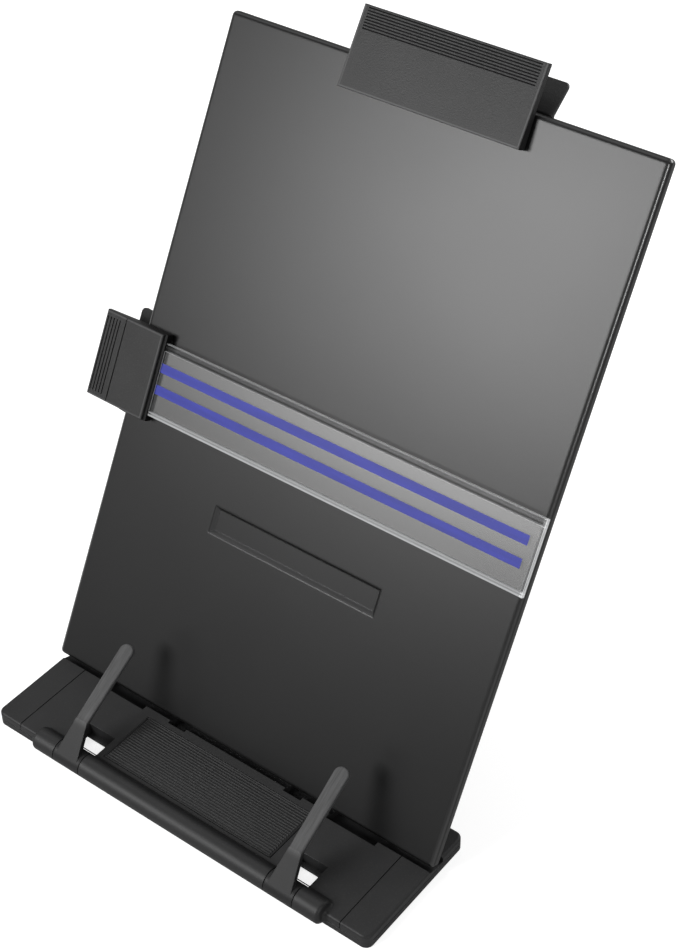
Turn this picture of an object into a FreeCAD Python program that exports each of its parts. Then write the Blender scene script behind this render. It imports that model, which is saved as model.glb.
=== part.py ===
import FreeCAD, Part
import os

import Sketcher
from FreeCAD import Placement, Rotation, Vector

# Desk copy holder with a sliding line guide.
# Frame: +X right, +Y to the back, +Z up, in millimetres. The origin is on the desk,
# straight below the axis on which the board tilts, half-way along the base.

DRIVING_SIZES = (
    # base, moulded in a shelf and two end caps
    ("base_width", 260.0, "base, over both end caps"),
    ("base_front", 63.1, "tilt axis to the front face of the shelf"),
    ("base_back", 20.7, "tilt axis to the rear face of the base"),
    ("base_top", 9.3, "desk to the top face of the base"),
    ("foot_proud", 0.6, "how far the rubber strips stand below the mouldings"),
    ("cap_width", 18.0, "width of one end cap"),
    ("cap_corner", 4.5, "radius of an end cap's corners, seen from above"),
    ("base_round", 1.6, "radius along the top edges of the base"),
    ("tongue_reach", 5.0, "how far an end cap plugs into the shelf"),
    ("tongue_front", 42.0, "tilt axis to the front of a cap's tongue"),
    ("tongue_back", 18.0, "tilt axis to the back of a cap's tongue"),
    ("tongue_low", 3.0, "desk to the underside of a cap's tongue"),
    ("tongue_high", 6.8, "desk to the top of a cap's tongue"),
    ("groove_low", 4.3, "desk to the parting groove round the base"),
    ("groove_high", 4.9, "desk to the top of the parting groove"),
    ("groove_depth", 0.4, "depth of the parting groove"),
    ("seam_width", 0.5, "width of the seam between the shelf and an end cap"),
    ("seam_depth", 0.5, "depth of that seam"),
    # barrel along the front, which carries the page arms
    ("barrel_radius", 6.8, "radius of the front barrel and of the arm knuckles"),
    ("barrel_front", 62.2, "tilt axis to the barrel's axis"),
    ("barrel_up", 8.0, "desk to the barrel's axis"),
    ("barrel_inset", 12.0, "how much shorter the barrel is than the shelf, at each end"),
    ("barrel_shift", 2.2, "how far the barrel and its arms stand to the right"),
    ("barrel_end_round", 2.0, "radius round the ends of the barrel"),
    ("barrel_groove", 67.7, "tilt axis to the bottom of the parting groove in the barrel"),
    ("barrel_blend", 2.0, "radius between the barrel and the top of the shelf"),
    ("knuckle_inset", 16.0, "end of the barrel to a knuckle gap"),
    ("knuckle_gap", 19.4, "width of a knuckle gap"),
    ("knuckle_clear", 0.5, "side clearance of a knuckle"),
    ("sweep_clear", 0.8, "clearance round a turning knuckle"),
    ("window_front", 57.1, "tilt axis to the front of an arm window"),
    ("window_back", 39.1, "tilt axis to the back of an arm window"),
    ("window_lip", 41.9, "tilt axis to the edge of the cover below an arm window"),
    ("arm_rod_radius", 2.0, "radius of an arm's steel rod"),
    ("arm_rod_grip", 10.6, "how far an arm rod is held beyond the inner side of its gap"),
    ("arm_bush_radius", 3.6, "outer radius of an arm's friction bush"),
    ("run_clear", 0.05, "radial running clearance of a rod or pin in its bore"),
    ("arm_thick", 3.0, "thickness of an arm's bar"),
    ("arm_lower", 22.1, "knuckle to the crease of an arm"),
    ("arm_lower_rise", 49.5, "slope of an arm below its crease"),
    ("arm_upper", 48.2, "crease to the tip of an arm"),
    ("arm_upper_rise", 30.5, "slope of an arm above its crease"),
    ("arm_foot", 16.0, "width of an arm where it leaves its knuckle"),
    ("arm_waist", 8.0, "width of an arm at its crease"),
    ("arm_tip", 9.0, "width of an arm at its tip"),
    ("arm_tip_round", 4.0, "radius of the corners at the tip of an arm"),
    ("arm_round", 0.8, "radius along the edges of an arm above its crease"),
    ("arm_drop", 12.0, "height above and below the barrel's axis within which an arm stays"),
    # ribbed pad in the shelf
    ("pad_inset", 6.1, "knuckle gap to the end of the ribbed pad, but for the barrel's shift"),
    ("pad_front", 52.1, "tilt axis to the front of the ribbed pad"),
    ("pad_back", 16.1, "tilt axis to the back of the ribbed pad"),
    ("pad_thick", 1.2, "thickness of the pad below its ribs"),
    ("pad_gap", 0.25, "gap round the pad in its recess"),
    ("rib_width", 0.9, "width of one rib"),
    ("rib_height", 0.6, "height of one rib above the shelf"),
    ("rib_rim", 1.4, "plain rim round the ribs"),
    # hinge between base and board
    ("hinge_up", 6.0, "desk to the tilt axis"),
    ("hinge_rod_radius", 2.0, "radius of the hinge rod"),
    ("hinge_rod_inset", 5.0, "end of the shelf to the end of the hinge rod"),
    ("lug_radius", 3.2, "radius of the shelf's rod lugs"),
    ("outer_lug_width", 8.0, "width of an outer lug"),
    ("inner_lug_width", 6.0, "width of an inner lug"),
    ("inner_lug_gap", 10.0, "bracket slot to the inner lug beside it"),
    ("slot_inset", 15.0, "end of the shelf to a bracket slot"),
    ("slot_width", 32.0, "width of a bracket slot"),
    ("slot_front", 13.6, "tilt axis to the front of a bracket slot"),
    ("slot_back", 11.0, "tilt axis to the back of a bracket slot"),
    ("pocket_gap", 2.0, "inner lug to the rod pocket beside it"),
    ("pocket_width", 12.0, "width of a rod pocket"),
    ("pocket_front", 12.6, "tilt axis to the front of a rod pocket"),
    ("pocket_back", 3.4, "tilt axis to the back of a rod pocket"),
    ("trough_front", 10.4, "tilt axis to the front of the trough under the board"),
    ("trough_front_floor", 7.8, "desk to the trough's floor at its front"),
    ("trough_step", 4.4, "tilt axis to where the trough's floor levels out"),
    ("trough_floor", 5.9, "desk to the level floor of the trough"),
    ("trough_back", 1.6, "tilt axis to the back of the trough"),
    # underside
    ("cover_inset", 7.0, "end of the shelf to the recess for the bottom cover"),
    ("cover_front", 58.2, "tilt axis to the front of the bottom cover"),
    ("cover_back", 17.0, "tilt axis to the back of the bottom cover"),
    ("cover_thick", 1.4, "thickness of the bottom cover"),
    ("cover_gap", 0.15, "gap round the bottom cover"),
    ("strip_inset", 10.0, "end of the cover's recess to the end of a rubber strip"),
    ("strip_width", 10.0, "width of a rubber strip"),
    ("strip_sunk", 0.8, "how deep a rubber strip sits in the cover"),
    ("front_strip", 31.0, "tilt axis to the middle of the front rubber strip"),
    ("screw_inset", 4.0, "end of the cover's recess to an outer screw"),
    ("screw_front", 50.0, "tilt axis to the front screws"),
    ("screw_back", 12.5, "tilt axis to the rear screws"),
    ("screw_radius", 1.3, "radius of a screw's thread"),
    ("screw_long", 5.0, "length of a screw below its head"),
    ("screw_head", 2.6, "radius of a screw's head"),
    ("screw_head_thick", 0.7, "thickness of a screw's head"),
    ("screw_gap", 0.2, "gap round a screw's head"),
    # board, a steel tray with boxed edges
    ("lean", 61.14, "slope of the board at rest, from the desk"),
    ("board_shift", -1.9, "where the board rests in the side play of its hinge"),
    ("board_width", 264.5, "width of the board"),
    ("board_drop", 0.65, "tilt axis down to the bottom edge of the board"),
    ("board_height", 376.7, "height of the board along its face"),
    ("board_thick", 6.5, "depth of the board's boxed edges"),
    ("face_offset", 10.07, "tilt axis to the plane of the board's face"),
    ("sheet_thick", 1.2, "thickness of the board's sheet"),
    ("board_lip", 8.0, "width of the lips turned in behind the board"),
    ("board_corner", 2.6, "radius of the board's corners"),
    ("board_roll", 2.7, "radius on which the face rolls into the edges"),
    ("board_back_roll", 1.2, "radius on which the edges roll into the lips"),
    ("recess_half", 55.8, "half the length of the pressed recess"),
    ("recess_low", 107.85, "tilt axis to the bottom of the recess"),
    ("recess_high", 123.35, "tilt axis to the top of the recess"),
    ("recess_depth", 2.5, "depth of the pressed recess"),
    ("recess_slope", 35.0, "slope of the walls of the recess"),
    ("recess_rim", 1.2, "radius round the rim of the recess"),
    ("bracket_width", 27.0, "width of a hinge bracket"),
    ("bracket_thick", 1.5, "thickness of a hinge bracket's plate"),
    ("rivet_radius", 1.25, "radius of a rivet's shank"),
    ("rivet_head", 1.8, "radius of a rivet's head"),
    ("rivet_head_thick", 0.8, "thickness of a rivet's head"),
    ("rivet_apart", 15.0, "distance between the two rivets of a bracket"),
    ("rivet_up", 5.2, "tilt axis to the rivets, up the board"),
    # folding rear leg
    ("leg_pivot", 116.0, "tilt axis to the leg's pivot, up the board; also the leg's length"),
    ("leg_width", 96.0, "width of the rear leg"),
    ("leg_sheet", 1.5, "thickness of the leg's sheet"),
    ("leg_flange", 6.0, "depth of the leg's side flanges"),
    ("leg_plate_start", 8.0, "leg's pivot to the near end of its plate"),
    ("leg_eye", 4.3, "radius of the leg's eyes round the pin"),
    ("leg_bead_half", 24.0, "middle of the leg to a stiffening bead"),
    ("leg_bead_start", 16.0, "leg's pivot to the near end of a stiffening bead"),
    ("leg_bead_width", 7.0, "width of a stiffening bead"),
    ("leg_bead_high", 1.0, "height of a stiffening bead"),
    ("leg_pin_radius", 2.0, "radius of the leg's pin"),
    ("leg_pin_head", 3.4, "radius of the heads of the leg's pin"),
    ("leg_pin_head_thick", 1.2, "thickness of a head of the leg's pin"),
    ("washer_thick", 1.0, "thickness of a friction washer"),
    ("washer_radius", 4.2, "radius of a friction washer"),
    ("washer_gap", 0.3, "gap each side of a friction washer"),
    ("ear_thick", 1.5, "thickness of the leg bracket"),
    ("ear_radius", 4.6, "radius of the leg bracket's ears round the pin"),
    ("foot_radius", 6.0, "radius of the leg's rubber foot, as high as the tilt axis"),
    # spring clips: the page clip on the top edge and the guide's clip on the left edge
    ("clip_length", 109.6, "length of the page clip's jaw"),
    ("clip_aside", 3.2, "middle of the board to the middle of the page clip at rest"),
    ("guide_length", 49.6, "length of the guide clip's jaw"),
    ("guide_up", 175.85, "tilt axis to the middle of the guide's clip, up the board"),
    ("jaw_in", 18.7, "board's edge to the gripping end of the page clip's jaw"),
    ("guide_jaw_in", 18.3, "board's edge to the inner end of the guide's jaw"),
    ("jaw_out", 24.0, "board's edge to the outer end of a jaw"),
    ("clip_stand", 6.5, "board's face to the front of the page clip at its gripping end"),
    ("clip_stand_out", 2.5, "board's face to the front of the page clip at its outer end"),
    ("guide_stand", 8.0, "board's face to the front of the guide's clip at its inner end"),
    ("guide_stand_out", 6.4, "board's face to the front of the guide's clip at its outer end"),
    ("jaw_thick", 1.8, "thickness of a jaw's plate"),
    ("jaw_wall", 1.6, "thickness of a jaw's side walls"),
    ("jaw_wall_low", 0.6, "board's face to the lower edge of a side wall"),
    ("jaw_wall_end", 3.0, "depth of a side wall at the outer end of a jaw"),
    ("jaw_round", 0.6, "radius of the page clip's outer edges"),
    ("guide_jaw_round", 1.2, "radius of the guide clip's outer edges"),
    ("jaw_lip", 5.0, "width of the gripping lip"),
    ("grip_pad_thick", 1.0, "thickness of a rubber grip pad"),
    ("edge_gap", 0.3, "gap between a clip and the board"),
    ("grip_start", 11.8, "board's edge to the first grip groove of the page clip"),
    ("grip_pitch", 1.5, "pitch of the page clip's grip grooves"),
    ("guide_grip_start", 12.85, "board's edge to the first grip groove of the guide's clip"),
    ("guide_grip_pitch", 2.22, "pitch of the guide clip's grip grooves"),
    ("guide_line", 8.5, "board's edge to the single line across the guide's clip"),
    ("grip_width", 0.7, "width of a grip groove"),
    ("grip_depth", 0.5, "depth of a grip groove"),
    ("grip_margin", 3.2, "end of a jaw to the ends of its grooves"),
    ("pin_out", 5.0, "board's edge to a clip's pin"),
    ("pin_deep", 1.4, "board's face down to a clip's pin"),
    ("pin_radius", 1.5, "radius of a clip's pin"),
    ("pin_half", 18.0, "half the length of a clip's pin"),
    ("jaw_ear_in", 11.5, "middle of a clip to a jaw's ear"),
    ("jaw_ear_thick", 2.0, "thickness of a jaw's ear"),
    ("ear_round", 3.3, "radius of the ears round a clip's pin"),
    ("back_ear_in", 14.0, "middle of a clip to an ear of its back plate"),
    ("back_ear_thick", 2.4, "thickness of a back plate's ear"),
    ("back_in", 16.0, "board's edge to the inner end of a back plate"),
    ("back_thick", 2.0, "thickness of a back plate"),
    ("back_extra", 5.3, "how far a back plate is longer than its jaw, at each end"),
    ("back_ear_gap", 0.6, "board's edge to an ear of a back plate"),
    ("lever_corner", 3.0, "radius of the corners at the end of a lever"),
    ("lever_start", 1.0, "board's edge to where a lever turns back"),
    ("lever_out", 17.3, "board's edge to the end of the page clip's lever"),
    ("lever_flare", 24.0, "angle at which the page clip's lever turns back"),
    ("guide_lever_out", 12.8, "board's edge to the end of the guide's lever"),
    ("guide_lever_flare", 12.0, "angle at which the guide's lever turns back"),
    ("spring_wire", 1.0, "thickness of the spring wire"),
    ("spring_radius", 2.3, "mean radius of the springs"),
    ("spring_half", 4.0, "half the length of a spring's coil"),
    ("spring_leg", 7.6, "how far the legs of a spring reach out from its coil"),
    ("spring_leg_fall", 16.0, "angle between a spring's upper leg and the board"),
    # clear line guide
    ("ruler_start", 5.25, "board's edge to the hidden end of the line guide"),
    ("ruler_end", 265.8, "board's left edge to the free end of the line guide"),
    ("ruler_low", 21.4, "middle of the guide's clip down to the line guide's lower edge"),
    ("ruler_high", 20.5, "middle of the guide's clip up to the line guide's upper edge"),
    ("ruler_stand", 3.0, "board's face to the back of the line guide"),
    ("ruler_thick", 2.2, "thickness of the line guide at its rim"),
    ("ruler_rim", 4.5, "width of the line guide's rim along its upper edge"),
    ("ruler_low_rim", 2.8, "width of the line guide's rim along its lower edge"),
    ("ruler_end_rim", 2.2, "width of the line guide's rim at its free end"),
    ("ruler_sunk", 0.6, "how far the panel lies below the rim"),
    ("stripe_width", 5.3, "width of a stripe"),
    ("stripe_high", 3.8, "middle of the guide's clip up to the upper stripe"),
    ("stripe_low", 3.3, "middle of the guide's clip down to the lower stripe"),
    ("stripe_end", 259.2, "board's left edge to the far end of the stripes"),
    ("stripe_thick", 0.2, "thickness of a stripe"),
    ("socket_reach", 20.1, "board's edge to the mouth of the line guide's socket"),
    ("socket_roof", 0.8, "thickness of the socket in front of the line guide"),
    ("socket_start", 3.0, "board's edge to the closed end of the socket"),
    ("socket_half", 25.0, "half the height of the socket's mouth"),
)
RIB_COUNT = 20
CLIP_GROOVE_COUNT = 9
GUIDE_GROOVE_COUNT = 5
SPRING_TURN_COUNT = 5.5
TOLERANCE = 0.02  # within which a measured edge counts as the one that is looked for
LEAST_CUT = 0.001  # volume below which a cut counts as having missed its piece

doc = FreeCAD.newDocument("copy_holder")
sheet = doc.addObject("Spreadsheet::Sheet", "Sizes")


# ---------------------------------------------------------------- sizes and formulas


class Size:
    """A length or an angle, kept as a number and as the formula that gives it."""

    def __init__(self, number, formula):
        self.number = number
        self.formula = formula

    def __float__(self):
        return self.number

    def __add__(self, other):
        return Size(self.number + float(other), "(%s + %s)" % (self.formula, formula_of(other)))

    def __sub__(self, other):
        return Size(self.number - float(other), "(%s - %s)" % (self.formula, formula_of(other)))

    def __mul__(self, other):
        return Size(self.number * float(other), "(%s * %s)" % (self.formula, formula_of(other)))

    def __truediv__(self, other):
        return Size(self.number / float(other), "(%s / %s)" % (self.formula, formula_of(other)))

    def __neg__(self):
        return self * -1.0


def formula_of(value):
    return value.formula if isinstance(value, Size) else repr(float(value))


def cosine(angle):
    return Size(Vector(1, 0, 0).dot(turned(angle)), "cos(%s)" % angle.formula)


def sine(angle):
    return Size(Vector(0, 1, 0).dot(turned(angle)), "sin(%s)" % angle.formula)


def tangent(angle):
    return sine(angle) / cosine(angle)


def turned(angle):
    return Rotation(Vector(0, 0, 1), float(angle)).multVec(Vector(1, 0, 0))


def bind(owner, property_name, value):
    if isinstance(value, Size):
        owner.setExpression(property_name, value.formula)
    else:
        setattr(owner, property_name, value)


def fill_sheet():
    for row, (alias, number, words) in enumerate(DRIVING_SIZES, start=1):
        sheet.set("A%d" % row, words)
        sheet.set("B%d" % row, "%g" % number)
        sheet.setAlias("B%d" % row, alias)
    doc.recompute()


def read_sheet():
    return {alias: Size(float(sheet.get(alias)), "Sizes." + alias) for alias, _, _ in DRIVING_SIZES}


class Named:
    """Gives each cell of the sheet as an attribute."""

    def __init__(self, values):
        self.__dict__.update(values)


# ---------------------------------------------------------------- building a piece


class Piece:
    """One rigid piece: a PartDesign body made of prisms, cuts, patterns and rounded edges."""

    PLANES = {"XY": "XY_Plane", "XZ": "XZ_Plane", "YZ": "YZ_Plane"}

    def __init__(self, label):
        self.body = doc.addObject("PartDesign::Body", label)
        self.body.Label = label

    def sketch(self, plane, low, high):
        """A sketch where a prism between low and high begins."""
        sketch = self.body.newObject("Sketcher::SketchObject", "Sketch")
        role = self.PLANES[plane]
        support = [part for part in self.body.Origin.OriginFeatures if part.Role == role][0]
        sketch.AttachmentSupport = (support, "")
        sketch.MapMode = "FlatFace"
        start = high * -1.0 if plane == "XZ" else low
        sketch.AttachmentOffset = Placement(Vector(0, 0, float(start)), Rotation())
        if isinstance(start, Size):
            sketch.setExpression("AttachmentOffset.Base.z", start.formula)
        return sketch

    def draw_outline(self, sketch, corners):
        count = len(corners)
        points = [Vector(float(across), float(up), 0) for across, up in corners]
        for index in range(count):
            sketch.addGeometry(Part.LineSegment(points[index], points[(index + 1) % count]), False)
        for index in range(count):
            joined = Sketcher.Constraint("Coincident", index, 2, (index + 1) % count, 1)
            sketch.addConstraint(joined)
        for index, (across, up) in enumerate(corners):
            for kind, value in (("DistanceX", across), ("DistanceY", up)):
                self.constrain(sketch, Sketcher.Constraint(kind, -1, 1, index, 1, float(value)), value)

    def draw_circle(self, sketch, centre, radius):
        across, up = centre
        middle = Vector(float(across), float(up), 0)
        circle = sketch.addGeometry(Part.Circle(middle, Vector(0, 0, 1), float(radius)), False)
        self.constrain(sketch, Sketcher.Constraint("Radius", circle, float(radius)), radius)
        for kind, value in (("DistanceX", across), ("DistanceY", up)):
            self.constrain(sketch, Sketcher.Constraint(kind, -1, 1, circle, 3, float(value)), value)

    def constrain(self, sketch, constraint, value):
        index = sketch.addConstraint(constraint)
        if isinstance(value, Size):
            sketch.setExpression("Constraints[%d]" % index, value.formula)

    def feature(self, kind, sketch, low, high, slope=None):
        feature = self.body.newObject("PartDesign::" + kind, kind)
        feature.Profile = sketch
        bind(feature, "Length", high - low)
        if kind == "Pocket":
            feature.Reversed = True
        if slope is not None:
            bind(feature, "TaperAngle", slope)
        return feature

    def add(self, plane, low, high, corners):
        """A prism with straight edges, from low to high along the plane's axis."""
        low, high = as_size(low), as_size(high)
        sketch = self.sketch(plane, low, high)
        self.draw_outline(sketch, corners)
        return self.feature("Pad", sketch, low, high)

    def add_round(self, plane, low, high, centre, radius):
        low, high = as_size(low), as_size(high)
        sketch = self.sketch(plane, low, high)
        self.draw_circle(sketch, centre, radius)
        return self.feature("Pad", sketch, low, high)

    def cut(self, plane, low, high, corners, slope=None):
        low, high = as_size(low), as_size(high)
        sketch = self.sketch(plane, low, high)
        self.draw_outline(sketch, corners)
        return self.removed(self.feature, "Pocket", sketch, low, high, slope)

    def cut_round(self, plane, low, high, centre, radius):
        low, high = as_size(low), as_size(high)
        sketch = self.sketch(plane, low, high)
        self.draw_circle(sketch, centre, radius)
        return self.removed(self.feature, "Pocket", sketch, low, high)

    def removed(self, make, *details):
        """Makes a cut, and checks that it took something away."""
        doc.recompute()
        before = self.body.Tip.Shape.Volume
        feature = make(*details)
        doc.recompute()
        if not feature.Shape.Volume < before - LEAST_CUT:
            raise RuntimeError("%s: %s cuts nothing" % (self.body.Label, feature.Name))
        return feature

    def repeat(self, feature, axis_role, length, count):
        """Repeats a feature along one of the body's axes, over the given length."""
        doc.recompute()
        pattern = self.body.newObject("PartDesign::LinearPattern", "Pattern")
        axis = [part for part in self.body.Origin.OriginFeatures if part.Role == axis_role][0]
        pattern.Originals = [feature]
        pattern.Direction = (axis, [""])
        bind(pattern, "Length", length)
        pattern.Occurrences = count
        self.body.Tip = pattern
        doc.recompute()
        return pattern

    def round_edges(self, radius, chosen):
        doc.recompute()
        base = self.body.Tip
        names = ["Edge%d" % number for number, edge in enumerate(base.Shape.Edges, start=1)
                 if chosen(edge)]
        if not names:
            raise RuntimeError("%s: no edge to round" % self.body.Label)
        fillet = self.body.newObject("PartDesign::Fillet", "Fillet")
        fillet.Base = (base, names)
        bind(fillet, "Radius", radius)
        doc.recompute()
        if fillet.Shape.isNull():
            raise RuntimeError("%s: %s can't be made" % (self.body.Label, fillet.Name))
        return fillet

    def place(self, placement):
        self.body.Placement = placement
        return self.body


def as_size(value):
    return value if isinstance(value, Size) else Size(float(value), repr(float(value)))


def rectangle(left, right, bottom, top):
    return [(left, bottom), (right, bottom), (right, top), (left, top)]


def edges_along(axis, length=None, **near):
    """Picks straight edges along an axis whose middle lies at the given coordinates."""
    direction = {"x": Vector(1, 0, 0), "y": Vector(0, 1, 0), "z": Vector(0, 0, 1)}[axis]

    def chosen(edge):
        if edge.Curve.TypeId != "Part::GeomLine":
            return False
        if edge.tangentAt(edge.FirstParameter).cross(direction).Length > TOLERANCE:
            return False
        if length is not None and abs(edge.Length - float(length)) > TOLERANCE:
            return False
        middle = edge.CenterOfMass
        return all(abs(getattr(middle, name) - float(value)) < TOLERANCE
                   for name, value in near.items())

    return chosen


def edges_inside(level, left, right, bottom, top):
    """Picks edges at one height that lie wholly inside a rectangle."""

    def chosen(edge):
        return edges_on_level(level)(edge) and all(
            float(left) < vertex.Point.x < float(right)
            and float(bottom) < vertex.Point.y < float(top) for vertex in edge.Vertexes)

    return chosen


def edges_on_level(level, apart_from=None):
    """Picks edges that lie at one height."""

    def chosen(edge):
        heights = [vertex.Point.z for vertex in edge.Vertexes] + [edge.CenterOfMass.z]
        flat = all(abs(height - float(level)) < TOLERANCE for height in heights)
        return flat and not (apart_from and apart_from(edge))

    return chosen


def edges_round(radius):
    """Picks whole circles of one radius."""

    def chosen(edge):
        circle = edge.Curve.TypeId == "Part::GeomCircle" and edge.isClosed()
        return circle and abs(edge.Curve.Radius - float(radius)) < TOLERANCE

    return chosen


def solid(label, shape, placement=Placement()):
    """A piece that is set from a shape, where no body or primitive fits."""
    feature = doc.addObject("Part::Feature", label)
    feature.Label = label
    feature.Shape = shape
    feature.Placement = placement
    return feature


def cylinder(radius, length, position, turn=Rotation()):
    item = doc.addObject("Part::Cylinder", "Cylinder")
    bind(item, "Radius", radius)
    bind(item, "Height", length)
    move(item, position, turn)
    return item


def block(size, position):
    item = doc.addObject("Part::Box", "Block")
    for property_name, length in zip(("Length", "Width", "Height"), size):
        bind(item, property_name, length)
    move(item, position, Rotation())
    return item


def move(item, position, turn):
    item.Placement = Placement(Vector(*[float(value) for value in position]), turn)
    for axis, value in zip("xyz", position):
        if isinstance(value, Size):
            item.setExpression("Placement.Base." + axis, value.formula)


def fused(*items):
    joint = doc.addObject("Part::MultiFuse", "Joined")
    joint.Shapes = list(items)
    return joint


def group(label, items, placement=Placement()):
    """Like pieces that share one node, as separate solids."""
    compound = doc.addObject("Part::Compound", label)
    compound.Label = label
    compound.Links = list(items)
    compound.Placement = placement
    return compound


# ---------------------------------------------------------------- frames of the leaning pieces


def board_frame():
    """On the tilt axis: x across the board, y up its face, z out of its face."""
    return Placement(Vector(float(S.board_shift), 0, float(S.hinge_up)),
                     Rotation(Vector(1, 0, 0), float(S.lean)))


def leg_frame():
    """On the leg's pivot: y down the leg to its foot, z away from the board."""
    pivot = board_frame().multVec(Vector(0, float(S.leg_pivot), 0))
    return Placement(pivot, Rotation(Vector(1, 0, 0), -float(S.lean)))


def clip_frame():
    """On the board's top edge: x along it, y outwards, z out of the face."""
    edge = Vector(float(S.clip_aside), float(S.board_height - S.board_drop), float(S.face_offset))
    return board_frame() * Placement(edge, Rotation())


def guide_frame():
    """On the board's left edge: x up along it, y outwards to the left, z out of the face."""
    edge = Vector(-float(S.board_width) / 2, float(S.guide_up), float(S.face_offset))
    return board_frame() * Placement(edge, Rotation(Vector(0, 0, 1), 90))


# ---------------------------------------------------------------- base


def shelf_half():
    return S.base_width / 2 - S.cap_width


def barrel_half():
    return shelf_half() - S.barrel_inset


def hinge_rod_half():
    return shelf_half() - S.hinge_rod_inset


def cover_hole_half():
    return shelf_half() - S.cover_inset


def knuckle_gap(side, clearance=0.0):
    """Lower and upper x of the gap between two stretches of the barrel."""
    outer = barrel_half() - S.knuckle_inset
    low, high = across(side, outer - S.knuckle_gap, outer)
    return low + S.barrel_shift + clearance, high + S.barrel_shift - clearance


def arm_rod_ends(side):
    outer = barrel_half()
    inner = outer - S.knuckle_inset - S.knuckle_gap - S.arm_rod_grip
    low, high = across(side, inner, outer - S.barrel_end_round)
    return low + S.barrel_shift, high + S.barrel_shift


def slot_ends():
    """Middle of the base to the inner and outer ends of a bracket slot."""
    outer = shelf_half() - S.slot_inset
    return outer - S.slot_width, outer


def lug_places():
    """Middle of the base to the two ends of each lug on one side."""
    inner = slot_ends()[0] - S.inner_lug_gap
    outer = hinge_rod_half()
    return ((inner - S.inner_lug_width, inner), (outer - S.outer_lug_width, outer))


def trough_outline():
    """The trough under the board, seen from the side."""
    return [(-S.trough_front, S.base_top), (-S.trough_front, S.trough_front_floor),
            (-S.trough_step, S.trough_floor), (S.trough_back, S.trough_floor),
            (S.trough_back, S.base_top)]


def pad_half():
    return barrel_half() - S.knuckle_inset - S.knuckle_gap - S.pad_inset


def make_base_shelf():
    piece = Piece("base_shelf")
    half = shelf_half()
    left, right = S.barrel_shift - barrel_half(), S.barrel_shift + barrel_half()
    axis = (-S.barrel_front, S.barrel_up)
    piece.add_round("YZ", left, right, axis, S.barrel_radius)
    piece.round_edges(S.barrel_end_round, edges_round(S.barrel_radius))
    piece.add("XY", S.foot_proud, S.base_top, rectangle(-half, half, -S.base_front, S.base_back))
    piece.round_edges(S.base_round, edges_along("x", z=S.base_top, y=S.base_back))
    piece.round_edges(S.base_round, edges_along("x", z=S.base_top, y=-S.base_front))
    piece.round_edges(S.barrel_blend, barrel_seam)
    cover_top = S.foot_proud + S.cover_thick
    for side in (-1, 1):
        low, high = knuckle_gap(side)
        piece.cut_round("YZ", low, high, axis, S.barrel_radius + S.sweep_clear)
        piece.cut("XY", S.foot_proud, S.base_top,
                  rectangle(low, high, -S.window_front, -S.window_back))
        low, high = arm_rod_ends(side)
        piece.cut_round("YZ", low, high, axis, S.arm_rod_radius)
    piece.cut("YZ", -half, half, trough_outline())
    for side in (-1, 1):
        for near, far in lug_places():
            low, high = across(side, near, far)
            piece.add_round("YZ", low, high, (0, S.hinge_up), S.lug_radius)
    for side in (-1, 1):
        low, high = across(side, *slot_ends())
        piece.cut("XY", cover_top, S.base_top, rectangle(low, high, -S.slot_front, S.slot_back))
        outer = lug_places()[0][0] - S.pocket_gap
        low, high = across(side, outer - S.pocket_width, outer)
        piece.cut("XY", cover_top, S.base_top,
                  rectangle(low, high, -S.pocket_front, S.pocket_back))
        low, high = across(side, half - S.tongue_reach, half)
        piece.cut("XY", S.tongue_low, S.tongue_high,
                  rectangle(low, high, -S.tongue_front, -S.tongue_back))
    piece.cut_round("YZ", -hinge_rod_half(), hinge_rod_half(), (0, S.hinge_up),
                    S.hinge_rod_radius)
    pad_hole = pad_half() + S.pad_gap
    piece.cut("XY", S.base_top - S.pad_thick, S.base_top,
              rectangle(-pad_hole, pad_hole, -S.pad_front - S.pad_gap, S.pad_gap - S.pad_back))
    cover_hole = rectangle(-cover_hole_half(), cover_hole_half(), -S.cover_front, S.cover_back)
    piece.cut("XY", S.foot_proud, cover_top, cover_hole)
    for x, y in screw_places():
        piece.cut_round("XY", cover_top, screw_seat() + S.screw_long, (x, y), S.screw_radius)
    for y in (-S.base_front, S.base_back - S.groove_depth):
        piece.cut("XY", S.groove_low, S.groove_high, rectangle(-half, half, y, y + S.groove_depth))
    piece.cut("XY", S.groove_low, S.groove_high,
              rectangle(left + S.barrel_end_round, right - S.barrel_end_round,
                        -S.barrel_front - S.barrel_radius, -S.barrel_groove))
    return piece.place(Placement())


def barrel_seam(edge):
    """The line where the barrel meets the top of the shelf."""
    behind = edge.CenterOfMass.y > -float(S.barrel_front) + TOLERANCE
    along = edges_along("x", z=S.base_top)(edge)
    return along and behind and edge.CenterOfMass.y < -float(S.barrel_front - S.barrel_radius)


def across(side, near, far):
    """Lower and upper x of a stretch that lies on one side of the middle."""
    return (near, far) if side > 0 else (-far, -near)


def screw_places():
    aside = cover_hole_half() - S.screw_inset
    return [(x, y) for y in (-S.screw_front, S.screw_back) for x in (-aside, 0.0, aside)]


def screw_seat():
    """Height of the underside of the screws' heads, as fitted from below."""
    return S.foot_proud + S.screw_head_thick + S.screw_gap / 2


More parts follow.
